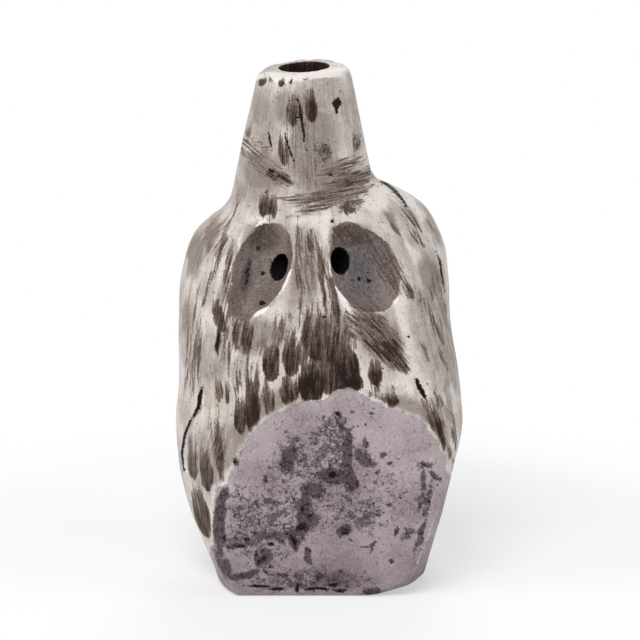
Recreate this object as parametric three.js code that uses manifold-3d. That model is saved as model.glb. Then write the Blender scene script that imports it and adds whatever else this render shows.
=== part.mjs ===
// A hand-built clay skull whistle: two pressed half shells round a blown sounding chamber,
// with a conical mouthpiece on the crown, a skull's face on one side, and two gouged hollows
// with a cord tunnel on the other. Millimetres, +Z up, the face looks along +Y.
import * as THREE from "three";
import { mergeVertices } from "three/addons/utils/BufferGeometryUtils.js";
import Module from "manifold-3d";

const wasm = await Module();
wasm.setup();

// Body: reach from the spine (x = 0, y = 0) to each side, and height to the crown
const BODY_HEIGHT = 88;
const LEFT_REACH = 32.5;
const RIGHT_REACH = 32.2;
const REAR_REACH = 35.5;
const FACE_REACH = 28.5;

// Walls and the slip line that joins one clay piece to the next
const SIDE_WALL = 6;
const REAR_WALL = 6.5;
const FACE_WALL = 10.5;
const CROWN_WALL = 8;
const SLIP = 0.3;

// The body's reach at each height: pairs of (share of the height, share of the reach)
const leftShares = [
  [0, 0.705], [0.06, 0.782], [0.11, 0.842], [0.16, 0.9], [0.27, 0.975], [0.375, 0.998],
  [0.505, 0.968], [0.71, 0.965], [0.8, 0.925], [0.85, 0.875], [0.892, 0.77], [0.919, 0.675],
  [0.944, 0.59], [0.975, 0.47], [1, 0.36],
];
const rightShares = [
  [0, 0.73], [0.06, 0.76], [0.11, 0.79], [0.216, 0.87], [0.32, 0.935], [0.427, 0.985],
  [0.56, 0.945], [0.66, 0.907], [0.765, 0.89], [0.82, 0.875], [0.87, 0.826], [0.919, 0.75],
  [0.944, 0.67], [0.97, 0.55], [1, 0.4],
];
const rearShares = [
  [0, 0.94], [0.15, 0.99], [0.36, 1], [0.44, 0.975], [0.5, 0.942], [0.56, 0.925],
  [0.64, 0.865], [0.73, 0.8], [0.82, 0.715], [0.9, 0.61], [0.96, 0.525], [1, 0.45],
];
const faceShares = [
  [0, 0.78], [0.07, 0.9], [0.16, 0.95], [0.3, 0.97], [0.42, 0.93], [0.52, 0.93],
  [0.62, 1], [0.74, 0.985], [0.83, 0.9], [0.9, 0.76], [0.96, 0.57], [1, 0.34],
];

// How square each quarter of a section is: 2 is an ellipse, 5 is nearly a box
const rearLeftSquareShares = [
  [0, 3.2], [0.12, 2.5], [0.3, 2.25], [0.5, 2.25], [1, 2],
];
const rearRightSquareShares = [
  [0, 4.4], [0.4, 4.8], [0.5, 4], [0.7, 2.9], [1, 2],
];
const faceSquareness = 2.5;
const cavitySquareness = 2.4;

// Three flats cut with a wire: the broad one low on the rear, a small one at its right
// and the worn corner of the foot between them
const REAR_FLAT = { turn: 0, lean: 7, reach: 27.3 };
const SIDE_FLAT = { turn: 70, lean: 26, reach: 25.7 };
const FOOT_FLAT = { turn: 45, lean: 60, reach: 27.6 };

// Mouthpiece: a cone with a rounded rim, a little left of the spine
const NECK_LEFT = 3.4;
const NECK_BACK = 2;
const NECK_LENGTH = 25.3;
const NECK_LAP = 12;
const RIM_RADIUS = 10;
const NECK_FOOT_RADIUS = 15.5;
const RIM_ROUND = 3.3;
const RIM_RISE_TO_FACE = 0.07;
const RIM_RISE_TO_RIGHT = 0.05;
const MOUTH_RADIUS = 5.25;
const THROAT_RADIUS = 4.6;
const SPIGOT_WALL = 2.8;

// Sounding parts, from the mouthpiece down
const DUCT_WALL = 2.4;
const DUCT_LAP = 9;
const DUCT_DROP = 3;
const APERTURE_RADIUS = 3;
const APERTURE_THICKNESS = 3;
const COLLAR_HEIGHT = 7.2;
const COLLAR_WALL = 2.6;
const COLLAR_WINDOW_HEIGHT = 5.2;
const COLLAR_POST = 5;
const CHAMBER_RADIUS = 13;
const CHAMBER_WALL = 2.8;
const CHAMBER_HOLE_RADIUS = 3.6;

// Base plug with the bell mouth, where the sound leaves
const PLUG_THICKNESS = 6;
const BELL_MOUTH_RADIUS = 10;
const BELL_THROAT_RADIUS = 8;

// The hollows gouged on each side of the rear ridge, and the cord tunnel that joins them
const RIDGE_LEFT = 2;
const LEFT_HOLLOW = {
  radii: { across: 7.4, deep: 8.5, tall: 11.2 },
  depth: 4.6,
  spacing: 11,
  tilt: 4,
  turn: 16,
};
const RIGHT_HOLLOW = {
  radii: { across: 8.9, deep: 9, tall: 11.2 },
  depth: 4.6,
  spacing: 12.6,
  tilt: 14,
  turn: 18,
};
const HOLLOW_LEAN_DEG = 20;
const hollowHeightShare = 0.822;
const TUNNEL_RADIUS = 2.55;
const TUNNEL_MOUTH_SPACING = 7.4;
const TUNNEL_DEPTH = 7;
const tunnelHeightShare = 0.821;
const tunnelRiseShare = 0.22;

// The skull's face
const SOCKET_RADII = { across: 9.6, deep: 9, tall: 9.4 };
const SOCKET_DEPTH = 7.2;
const SOCKET_SPACING = 12.6;
const socketHeightShare = 0.6;
const NOSE_RADII = { across: 3.4, deep: 6, tall: 7.4 };
const NOSE_DEPTH = 4.6;
const NOSE_SPREAD = 2.5;
const NOSE_TILT_DEG = 15;
const noseHeightShare = 0.435;
const CHEEK_RADII = { across: 13, deep: 13, tall: 8.5 };
const CHEEK_PROUD = 2.3;
const CHEEK_SPACING = 21.2;
const CHEEK_TILT_DEG = 14;
const cheekHeightShare = 0.455;
const BROW_RADII = { across: 15.5, deep: 15, tall: 8.6 };
const BROW_PROUD = 2;
const BROW_SPACING = 11.8;
const BROW_TILT_DEG = 12;
const browHeightShare = 0.705;
const TEMPLE_RADII = { across: 9, deep: 12, tall: 13.5 };
const TEMPLE_DEPTH = 1.7;
const TEMPLE_FORWARD = 13;
const templeHeightShare = 0.66;

// Jaw and teeth, each luted on as its own piece
const JAW_PROUD = 1.8;
const JAW_SEAT = 4.2;
const jawOuterShares = [
  [-0.9, 0.4], [-0.86, 0.26], [-0.74, 0.11], [-0.5, 0.018], [0.5, 0.018], [0.74, 0.11],
  [0.86, 0.26], [0.9, 0.4],
];
const jawInnerShares = [
  [0.68, 0.4], [0.64, 0.27], [0.5, 0.165], [-0.5, 0.165], [-0.64, 0.27], [-0.68, 0.4],
];
const TOOTH_PROUD = 1.5;
const TOOTH_SEAT = 2.6;
const TEETH_SPAN = 27;
const TOOTH_COUNT = 8;
const TOOTH_NOTCH = 1.5;
const UPPER_TOOTH_HEIGHT = 7.5;
const LOWER_TOOTH_HEIGHT = 5.6;
const teethFootShare = 0.183;

// The seam between the half shells: pairs of (share of the rear reach, share of the height)
const seamShares = [
  [-0.06, 1.2], [-0.06, 0.97], [-0.1, 0.93], [-0.24, 0.87], [-0.33, 0.8], [-0.36, 0.7],
  [-0.42, 0.6], [-0.42, 0.42], [-0.4, 0.2], [-0.38, -0.2],
];

// Facets, and how much the body's rings crowd towards the crown
const AROUND = 56;
const UP = 26;
const ringCrowding = 1.35;
const LATHE_SIDES = 28;
const GOUGE_SIDES = 18;
const BORE_SIDES = 16;

const CUT_OVERRUN = 1;
const SPAN = 2 * (BODY_HEIGHT + NECK_LENGTH);
const degrees = THREE.MathUtils.degToRad;

// Solids and meshes

function solid(geometry) {
  const bare = geometry.clone();
  bare.deleteAttribute("normal");
  bare.deleteAttribute("uv");
  const merged = mergeVertices(bare);
  const corners = merged.index.array;
  const kept = [];
  for (let i = 0; i < corners.length; i += 3) {
    const [a, b, c] = [corners[i], corners[i + 1], corners[i + 2]];
    if (a !== b && b !== c && c !== a) kept.push(a, b, c);
  }
  const vertProperties = merged.attributes.position.array;
  return new wasm.Manifold(new wasm.Mesh({ numProp: 3, vertProperties, triVerts: new Uint32Array(kept) }));
}

function geometryOf(manifold) {
  const mesh = manifold.getMesh();
  const geometry = new THREE.BufferGeometry();
  geometry.setAttribute("position", new THREE.BufferAttribute(mesh.vertProperties, mesh.numProp));
  geometry.setIndex(new THREE.BufferAttribute(mesh.triVerts, 1));
  geometry.computeVertexNormals();
  return geometry;
}

function placed(geometry, { at = [0, 0, 0], turn = [0, 0, 0], scale = [1, 1, 1] }) {
  const matrix = new THREE.Matrix4().compose(
    new THREE.Vector3(...at),
    new THREE.Quaternion().setFromEuler(new THREE.Euler(...turn, "ZYX")),
    new THREE.Vector3(...scale),
  );
  return solid(geometry.clone().applyMatrix4(matrix));
}

// A closed surface through rings of points, each ring anticlockwise seen from above
function loft(rings) {
  const around = rings[0].length;
  const points = rings.flat();
  const foot = points.length;
  const middle = (ring) => ring.reduce((sum, p) => sum.add(p), new THREE.Vector3()).divideScalar(around);
  points.push(middle(rings[0]), middle(rings.at(-1)));
  const faces = [];
  for (let row = 0; row < rings.length - 1; row += 1) {
    for (let i = 0; i < around; i += 1) {
      const [a, b] = [row * around + i, row * around + ((i + 1) % around)];
      faces.push(a, b, b + around, a, b + around, a + around);
    }
  }
  const top = (rings.length - 1) * around;
  for (let i = 0; i < around; i += 1) {
    const next = (i + 1) % around;
    faces.push(foot, next, i, foot + 1, top + i, top + next);
  }
  return solid(new THREE.BufferGeometry().setFromPoints(points).setIndex(faces));
}

// A turned piece about a vertical axis. The profile runs anticlockwise in (radius, height).
function turned(profile, x, y) {
  const points = profile.map(([radius, height]) => new THREE.Vector2(radius, height));
  const lathe = new THREE.LatheGeometry(points, LATHE_SIDES).rotateX(degrees(90));
  return solid(lathe.translate(x, y, 0));
}

function bore(radius, low, high, x, y) {
  const drill = new THREE.CylinderGeometry(radius, radius, high - low, BORE_SIDES);
  return solid(drill.rotateX(degrees(90)).translate(x, y, (low + high) / 2));
}

// A ball tool of the given radii
function gouge(radii, at, turn) {
  const ball = new THREE.SphereGeometry(1, GOUGE_SIDES, GOUGE_SIDES / 2);
  return placed(ball.rotateX(degrees(90)), { at, turn, scale: [radii.across, radii.deep, radii.tall] });
}

// An outline of (x, z) points pushed through the whole body along Y, from y to the face side
function pushed(outline, fromY) {
  const shape = new THREE.Shape(outline.map(([x, z]) => new THREE.Vector2(x, z)));
  const bar = new THREE.ExtrudeGeometry(shape, { depth: SPAN, bevelEnabled: false });
  return solid(bar.rotateX(degrees(90)).translate(0, fromY + SPAN, 0));
}

// A smooth line through pairs of (position, value) that never overshoots a pair
function lineThrough(pairs) {
  const slope = pairs.slice(1).map(([x, y], i) => (y - pairs[i][1]) / (x - pairs[i][0]));
  const tangent = pairs.map((_, i) => {
    const [before, after] = [slope[i - 1], slope[i]];
    if (before === undefined) return after;
    if (after === undefined) return before;
    return before * after <= 0 ? 0 : (2 * before * after) / (before + after);
  });
  return (x) => {
    const beyond = pairs.findIndex((pair) => pair[0] > x);
    const i = beyond < 0 ? pairs.length - 2 : Math.max(0, beyond - 1);
    const width = pairs[i + 1][0] - pairs[i][0];
    const t = Math.max(0, Math.min(1, (x - pairs[i][0]) / width));
    const s = 1 - t;
    return (
      pairs[i][1] * s * s * (1 + 2 * t) +
      tangent[i] * width * t * s * s +
      pairs[i + 1][1] * t * t * (1 + 2 * s) -
      tangent[i + 1] * width * t * t * s
    );
  };
}

// The body's skin

const reachLeft = lineThrough(leftShares);
const reachRight = lineThrough(rightShares);
const reachRear = lineThrough(rearShares);
const reachFace = lineThrough(faceShares);
const squareLeft = lineThrough(rearLeftSquareShares);
const squareRight = lineThrough(rearRightSquareShares);

function sectionAt(z) {
  const share = z / BODY_HEIGHT;
  return {
    left: LEFT_REACH * reachLeft(share),
    right: RIGHT_REACH * reachRight(share),
    rear: REAR_REACH * reachRear(share),
    face: FACE_REACH * reachFace(share),
    square: { rearLeft: squareLeft(share), rearRight: squareRight(share), face: faceSquareness },
  };
}

// The section's reach and squareness in the quarter that holds a direction
function quarter(section, x, y) {
  const rear = x < 0 ? section.square.rearLeft : section.square.rearRight;
  return {
    across: x < 0 ? section.left : section.right,
    along: y < 0 ? section.rear : section.face,
    square: y < 0 ? rear : section.square.face,
  };
}

function ring(section, z, around = AROUND) {
  return Array.from({ length: around }, (_, i) => {
    const angle = (2 * Math.PI * i) / around;
    const [c, s] = [Math.cos(angle), Math.sin(angle)];
    const { across, along, square } = quarter(section, c, s);
    const radius = (Math.abs(c / across) ** square + Math.abs(s / along) ** square) ** (-1 / square);
    return new THREE.Vector3(radius * c, radius * s, z);
  });
}

const grownBy = (section, by) => ({
  ...section,
  left: section.left + by,
  right: section.right + by,
  rear: section.rear + by,
  face: section.face + by,
});

// The whole body from its foot to its crown, grown outwards by an offset
function bodyForm(offset = 0) {
  const rings = [];
  for (let i = 0; i <= UP; i += 1) {
    const z = BODY_HEIGHT * (1 - (1 - i / UP) ** ringCrowding);
    rings.push(ring(grownBy(sectionAt(z), offset), z + (offset * i) / UP));
  }
  return loft(rings);
}

// The y of the skin above a point (x, z) on the face side (+1) or the rear side (-1)
function skinY(x, z, side) {
  const { across, along, square } = quarter(sectionAt(z), x, side);
  return side * along * (1 - Math.min(1, Math.abs(x / across)) ** square) ** (1 / square);
}

// How far back the broad flat lies at a height
const flatReach = (z) => REAR_FLAT.reach + z * Math.tan(degrees(REAR_FLAT.lean));

// A block that takes off all that lies beyond a flat
function wire({ turn, lean, reach }) {
  const block = new THREE.BoxGeometry(SPAN, SPAN, SPAN).translate(0, -SPAN / 2, 0);
  block.rotateX(degrees(lean)).translate(0, -reach, 0).rotateZ(degrees(turn));
  return solid(block);
}

const wireCut = (manifold) =>
  [REAR_FLAT, SIDE_FLAT, FOOT_FLAT].reduce((left, flat) => left.subtract(wire(flat)), manifold);

// Heights down the sounding parts
const [neckX, neckY] = [-NECK_LEFT, -NECK_BACK];
const rimZ = BODY_HEIGHT + NECK_LENGTH;
const cavityTop = BODY_HEIGHT - CROWN_WALL;
const ductRadius = THROAT_RADIUS + DUCT_WALL;
const spigotRadius = ductRadius + SLIP + SPIGOT_WALL;
const ductTop = BODY_HEIGHT + DUCT_LAP;
const ductFoot = cavityTop - DUCT_DROP;
const apertureTop = ductFoot - SLIP;
const collarTop = apertureTop - APERTURE_THICKNESS - SLIP;
const collarFoot = collarTop - COLLAR_HEIGHT;
const chamberTop = collarFoot - SLIP;
const collarRadius = THROAT_RADIUS + COLLAR_WALL;
const chamberFlat = Math.sqrt(CHAMBER_RADIUS ** 2 - collarRadius ** 2);
const chamberZ = chamberTop - chamberFlat;

// The bell cavity inside the shells
const tunnelZ = BODY_HEIGHT * tunnelHeightShare;
const tunnelMouthY = skinY(-RIDGE_LEFT, tunnelZ, -1) + TUNNEL_RADIUS;
const tunnelEndY = tunnelMouthY + TUNNEL_DEPTH;

function cavitySection(z) {
  const section = sectionAt(z);
  const underFlat = Math.min(section.rear, flatReach(z)) - REAR_WALL;
  const behindTunnel = -(tunnelEndY + TUNNEL_RADIUS + SLIP);
  const near = THREE.MathUtils.smoothstep(z, tunnelZ - 6 * TUNNEL_RADIUS, tunnelZ - 2 * TUNNEL_RADIUS);
  return {
    left: section.left - SIDE_WALL,
    right: section.right - SIDE_WALL,
    rear: underFlat + (Math.min(underFlat, behindTunnel) - underFlat) * near,
    face: section.face - FACE_WALL,
    square: { rearLeft: cavitySquareness, rearRight: cavitySquareness, face: cavitySquareness },
  };
}

function cavityForm() {
  const steps = UP / 2;
  const rings = [];
  for (let i = 0; i <= steps; i += 1) {
    const z = (cavityTop * i) / steps;
    rings.push(ring(cavitySection(z), z, AROUND / 2));
  }
  const foot = rings[0].map((p) => p.clone().setZ(-CUT_OVERRUN));
  return loft([foot, ...rings]);
}

// The mouthpiece's cone widens down to its lap over the crown
const coneRadius = (z) => RIM_RADIUS + ((NECK_FOOT_RADIUS - RIM_RADIUS) * (rimZ - z)) / NECK_LENGTH;

function slanted(manifold) {
  return manifold.warp((p) => {
    const up = THREE.MathUtils.smoothstep(p[2], BODY_HEIGHT + NECK_LENGTH / 3, rimZ);
    p[2] += up * ((p[0] - neckX) * RIM_RISE_TO_RIGHT + (p[1] - neckY) * RIM_RISE_TO_FACE);
  });
}

function cone() {
  const foot = BODY_HEIGHT - NECK_LAP;
  const roundSteps = 5;
  const profile = [[0, foot], [coneRadius(foot), foot]];
  for (let i = 0; i <= roundSteps; i += 1) {
    const angle = (Math.PI / 2) * (i / roundSteps);
    const radius = coneRadius(rimZ - RIM_ROUND) - RIM_ROUND * (1 - Math.cos(angle));
    profile.push([radius, rimZ - RIM_ROUND * (1 - Math.sin(angle))]);
  }
  profile.push([0, rimZ]);
  return turned(profile, neckX, neckY);
}

function mouthBore() {
  const flare = RIM_ROUND / 3;
  return turned(
    [
      [0, ductTop - CUT_OVERRUN],
      [THROAT_RADIUS, ductTop - CUT_OVERRUN],
      [THROAT_RADIUS, ductTop + SLIP],
      [MOUTH_RADIUS, rimZ - NECK_LENGTH / 3],
      [MOUTH_RADIUS, rimZ - flare],
      [MOUTH_RADIUS + flare, rimZ + CUT_OVERRUN],
      [0, rimZ + CUT_OVERRUN],
    ],
    neckX,
    neckY,
  );
}

function mouthpiece(body) {
  const spigot = bore(spigotRadius, cavityTop, BODY_HEIGHT + DUCT_LAP / 2, neckX, neckY);
  const socket = bore(ductRadius + SLIP, cavityTop - CUT_OVERRUN, ductTop + SLIP, neckX, neckY);
  return slanted(cone().subtract(body).add(spigot).subtract(mouthBore())).subtract(socket);
}

// Sounding parts

function airDuct() {
  return turned(
    [
      [THROAT_RADIUS, ductFoot],
      [ductRadius, ductFoot],
      [ductRadius, ductTop],
      [THROAT_RADIUS, ductTop],
      [THROAT_RADIUS, ductFoot],
    ],
    neckX,
    neckY,
  );
}

function apertureDisc() {
  const foot = apertureTop - APERTURE_THICKNESS;
  return turned(
    [
      [APERTURE_RADIUS, foot],
      [ductRadius, foot],
      [ductRadius, apertureTop],
      [THROAT_RADIUS, apertureTop],
      [APERTURE_RADIUS, foot + APERTURE_THICKNESS / 2],
      [APERTURE_RADIUS, foot],
    ],
    neckX,
    neckY,
  );
}

// The collision space is open to the bell cavity at its left and right
function collisionCollar() {
  const collar = turned(
    [
      [THROAT_RADIUS, collarFoot],
      [collarRadius, collarFoot],
      [collarRadius, collarTop],
      [THROAT_RADIUS, collarTop],
      [THROAT_RADIUS, collarFoot],
    ],
    neckX,
    neckY,
  );
  const windows = new THREE.BoxGeometry(SPAN, 2 * collarRadius - COLLAR_POST, COLLAR_WINDOW_HEIGHT);
  return collar.subtract(solid(windows.translate(neckX, neckY, (collarTop + collarFoot) / 2)));
}

// A half of the round chamber, between two heights measured from its middle
function chamberHalf(low, high, holeRadius) {
  const steps = 10;
  const inner = CHAMBER_RADIUS - CHAMBER_WALL;
  const arc = (radius, from, to) =>
    Array.from({ length: steps + 1 }, (_, i) => {
      const h = from + ((to - from) * (1 - Math.cos((Math.PI * i) / steps))) / 2;
      return [Math.sqrt(Math.max(0, radius ** 2 - h ** 2)), chamberZ + h];
    });
  const outerArc = arc(CHAMBER_RADIUS, low, high);
  const innerLow = Math.max(low, -inner);
  const innerHigh = Math.min(high, Math.sqrt(inner ** 2 - holeRadius ** 2));
  const profile = [...outerArc];
  if (holeRadius > 0) profile.push([holeRadius, chamberZ + high]);
  profile.push(...arc(inner, innerHigh, innerLow));
  if (low <= -CHAMBER_RADIUS) profile.push([0, chamberZ - CHAMBER_RADIUS]);
  else profile.push(profile[0]);
  return turned(profile, neckX, neckY);
}

function basePlug() {
  const rings = [0, PLUG_THICKNESS].map((z) => {
    return ring(grownBy(cavitySection(z), -SLIP), z, AROUND / 2);
  });
  const bell = turned(
    [
      [0, -CUT_OVERRUN],
      [BELL_MOUTH_RADIUS, -CUT_OVERRUN],
      [BELL_MOUTH_RADIUS, 0],
      [BELL_THROAT_RADIUS, PLUG_THICKNESS],
      [BELL_THROAT_RADIUS, PLUG_THICKNESS + CUT_OVERRUN],
      [0, PLUG_THICKNESS + CUT_OVERRUN],
    ],
    0,
    neckY,
  );
  return loft(rings).subtract(bell);
}

// Rear features

// One hollow: side is -1 on the left and +1 on the right
function hollow(side, { radii, depth, spacing, tilt, turn }) {
  const [x, z] = [-RIDGE_LEFT + side * spacing, BODY_HEIGHT * hollowHeightShare];
  const y = skinY(x, z, -1) - (radii.deep - depth);
  return gouge(radii, [x, y, z], [degrees(-HOLLOW_LEAN_DEG), side * degrees(-tilt), side * degrees(turn)]);
}

// The tunnel is bored in from each hollow, and its two halves meet behind the ridge
function cordTunnel() {
  const meeting = new THREE.Vector3(-RIDGE_LEFT, tunnelEndY, tunnelZ);
  const halves = [-1, 1].map((side) => {
    const rise = side * TUNNEL_MOUTH_SPACING * tunnelRiseShare;
    const mouth = new THREE.Vector3(-RIDGE_LEFT + side * TUNNEL_MOUTH_SPACING, tunnelMouthY, tunnelZ + rise);
    const way = mouth.clone().sub(meeting);
    const length = way.length() + 2 * TUNNEL_DEPTH;
    const drill = new THREE.CylinderGeometry(TUNNEL_RADIUS, TUNNEL_RADIUS, length, BORE_SIDES);
    drill.translate(0, length / 2, 0);
    const aim = new THREE.Quaternion().setFromUnitVectors(new THREE.Vector3(0, 1, 0), way.normalize());
    return solid(drill.applyQuaternion(aim).translate(...meeting));
  });
  const turnAt = new THREE.SphereGeometry(TUNNEL_RADIUS, BORE_SIDES, BORE_SIDES / 2);
  return halves[0].add(halves[1]).add(solid(turnAt.translate(...meeting)));
}

// Face features

// A pair of ball-tool marks straight into the face, mirrored about its middle
function marks(radii, spacing, z, depth, tilt) {
  return [-1, 1].map((side) => {
    const x = side * spacing;
    const y = skinY(x, z, 1) + radii.deep - depth;
    return gouge(radii, [x, y, z], [0, side * degrees(tilt), 0]);
  });
}

// A pair of clay pads bedded square to the skin, mirrored about the face's middle
function pads(radii, spacing, z, proud, tilt) {
  const step = radii.across / 10;
  const sunk = radii.deep - proud;
  return [-1, 1].map((side) => {
    const x = side * spacing;
    const turn = Math.atan((skinY(x + step, z, 1) - skinY(x - step, z, 1)) / (2 * step));
    const at = [x + sunk * Math.sin(turn), skinY(x, z, 1) - sunk * Math.cos(turn), z];
    return gouge(radii, at, [0, side * degrees(tilt), turn]);
  });
}

const heightAt = (share) => BODY_HEIGHT * share;
const sockets = marks(SOCKET_RADII, SOCKET_SPACING, heightAt(socketHeightShare), SOCKET_DEPTH, 0);
const nostrils = marks(NOSE_RADII, NOSE_SPREAD, heightAt(noseHeightShare), NOSE_DEPTH, -NOSE_TILT_DEG);
const cheeks = pads(CHEEK_RADII, CHEEK_SPACING, heightAt(cheekHeightShare), CHEEK_PROUD, -CHEEK_TILT_DEG);
const brows = pads(BROW_RADII, BROW_SPACING, heightAt(browHeightShare), BROW_PROUD, BROW_TILT_DEG);

function temples() {
  const z = BODY_HEIGHT * templeHeightShare;
  const section = sectionAt(z);
  return [-1, 1].map((side) => {
    const reach = side < 0 ? section.left : section.right;
    const width = reach * (1 - (TEMPLE_FORWARD / section.face) ** faceSquareness) ** (1 / faceSquareness);
    const x = side * (width + TEMPLE_RADII.across - TEMPLE_DEPTH);
    return gouge(TEMPLE_RADII, [x, TEMPLE_FORWARD, z], [0, 0, 0]);
  });
}

// The jaw's outline seen from the face, with slip all round if its seat is wanted
function jawOutline(slip) {
  const reach = (LEFT_REACH + RIGHT_REACH) / 2;
  const ends = [0, jawOuterShares.length - 1];
  const outer = jawOuterShares.map(([x, z], i) => [
    x * reach + Math.sign(x) * slip,
    z * BODY_HEIGHT + (ends.includes(i) ? slip : -slip),
  ]);
  const inner = jawInnerShares.map(([x, z]) => [x * reach - Math.sign(x) * slip, z * BODY_HEIGHT + slip]);
  return [...outer, ...inner];
}

function toothBar(foot, height, slip) {
  const [half, low, high] = [TEETH_SPAN / 2 + slip, foot - slip, foot + height + slip];
  return [
    [-half, low],
    [half, low],
    [half, high],
    [-half, high],
  ];
}

// Knife notches between the teeth, standing upright in the bar's face
function notches(foot, height) {
  return Array.from({ length: TOOTH_COUNT + 1 }, (_, i) => {
    const x = TEETH_SPAN * (i / TOOTH_COUNT - 1 / 2);
    const z = foot + height / 2;
    const knife = new THREE.CylinderGeometry(TOOTH_NOTCH / 2, TOOTH_NOTCH / 2, height + 2 * CUT_OVERRUN, 6);
    const y = skinY(x, z, 1) + TOOTH_PROUD;
    return placed(knife.rotateX(degrees(90)), { at: [x, y, z], scale: [1, TOOTH_PROUD, 1] });
  });
}

// Assembly

const finish = {
  limewash: new THREE.MeshStandardMaterial({ color: 0xcfc6bf, roughness: 0.62, metalness: 0 }),
  bare: new THREE.MeshStandardMaterial({ color: 0x6b5a52, roughness: 0.85, metalness: 0 }),
  bone: new THREE.MeshStandardMaterial({ color: 0xd8cfc4, roughness: 0.55, metalness: 0 }),
};

const whistle = new THREE.Group();

function addPiece(name, manifold, material) {
  const mesh = new THREE.Mesh(geometryOf(manifold), material);
  mesh.name = name;
  whistle.add(mesh);
}

// All that lies on one side of the seam: -1 keeps the rear and +1 keeps the face
function seamSide(side) {
  const points = seamShares.map(([y, z]) => [y * REAR_REACH + (side * SLIP) / 2, z * BODY_HEIGHT]);
  const line = new THREE.SplineCurve(points.map(([y, z]) => new THREE.Vector2(y, z))).getPoints(24);
  const [top, foot] = [line[0], line.at(-1)];
  const outline = [...line, new THREE.Vector2(side * SPAN, foot.y), new THREE.Vector2(side * SPAN, top.y)];
  const bar = new THREE.ExtrudeGeometry(new THREE.Shape(outline), { depth: SPAN, bevelEnabled: false });
  bar.translate(0, 0, -SPAN / 2).rotateX(degrees(90)).rotateZ(degrees(90));
  return solid(bar);
}

const all = (solids) => solids.reduce((sum, s) => sum.add(s));
const grown = wireCut(bodyForm(SLIP));
const crownHole = bore(spigotRadius + SLIP, cavityTop - CUT_OVERRUN, BODY_HEIGHT + CUT_OVERRUN, neckX, neckY);

const padded = all([bodyForm(), ...cheeks, ...brows]);
const hollowBody = wireCut(padded).subtract(cavityForm()).subtract(crownHole);

const rearShell = hollowBody
  .intersect(seamSide(-1))
  .subtract(all([hollow(-1, LEFT_HOLLOW), hollow(1, RIGHT_HOLLOW), cordTunnel()]));

const teethFoot = BODY_HEIGHT * teethFootShare;
const upperFoot = teethFoot + LOWER_TOOTH_HEIGHT + SLIP;
const jawBlock = pushed(jawOutline(0), 0);
const jawSeat = pushed(jawOutline(SLIP), 0).subtract(bodyForm(-JAW_SEAT - SLIP));
const upperSeat = pushed(toothBar(upperFoot, UPPER_TOOTH_HEIGHT, SLIP), 0).subtract(bodyForm(-TOOTH_SEAT - SLIP));
const lowerSeat = pushed(toothBar(teethFoot, LOWER_TOOTH_HEIGHT, SLIP), 0).subtract(bodyForm(-TOOTH_SEAT - SLIP));

const faceShell = hollowBody
  .intersect(seamSide(1))
  .subtract(all([...sockets, ...nostrils, ...temples()]))
  .subtract(all([jawSeat, upperSeat, lowerSeat]));

const lowerJaw = jawBlock.intersect(bodyForm(JAW_PROUD)).subtract(bodyForm(-JAW_SEAT)).subtract(lowerSeat);

function teeth(foot, height) {
  const bar = pushed(toothBar(foot, height, 0), 0).intersect(bodyForm(TOOTH_PROUD)).subtract(bodyForm(-TOOTH_SEAT));
  return bar.subtract(all(notches(foot, height)));
}

addPiece("rear_shell", rearShell, finish.limewash);
addPiece("face_shell", faceShell, finish.limewash);
addPiece("lower_jaw", lowerJaw, finish.limewash);
addPiece("upper_teeth", teeth(upperFoot, UPPER_TOOTH_HEIGHT), finish.bone);
addPiece("lower_teeth", teeth(teethFoot, LOWER_TOOTH_HEIGHT), finish.bone);
addPiece("mouthpiece", mouthpiece(grown), finish.limewash);
addPiece("air_duct", airDuct(), finish.bare);
addPiece("aperture_disc", apertureDisc(), finish.bare);
addPiece("collision_collar", collisionCollar(), finish.bare);
addPiece("chamber_top", chamberHalf(SLIP / 2, chamberFlat, CHAMBER_HOLE_RADIUS), finish.bare);
addPiece("chamber_bottom", chamberHalf(-CHAMBER_RADIUS, -SLIP / 2, 0), finish.bare);
addPiece("base_plug", basePlug(), finish.bare);

// The origin is the middle of the box round the whole whistle, at the surface that it stands on
const box = new THREE.Box3().setFromObject(whistle);
const middle = box.getCenter(new THREE.Vector3());
whistle.position.set(-middle.x, -middle.y, -box.min.z);

export default whistle;
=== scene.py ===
# %% [markdown]
# # A clay skull whistle, seen from its cord side
# The whistle is made of hand-built clay: two pressed half shells round a small sounding chamber,
# a conical mouthpiece on the crown, and a jaw and teeth luted on as pieces of their own.
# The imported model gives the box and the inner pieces. Here each outer piece gets the skin of
# the real thing: edges softened by fingers, knife facets, a worn pale wash, and the dark clay
# that shows through.

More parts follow.
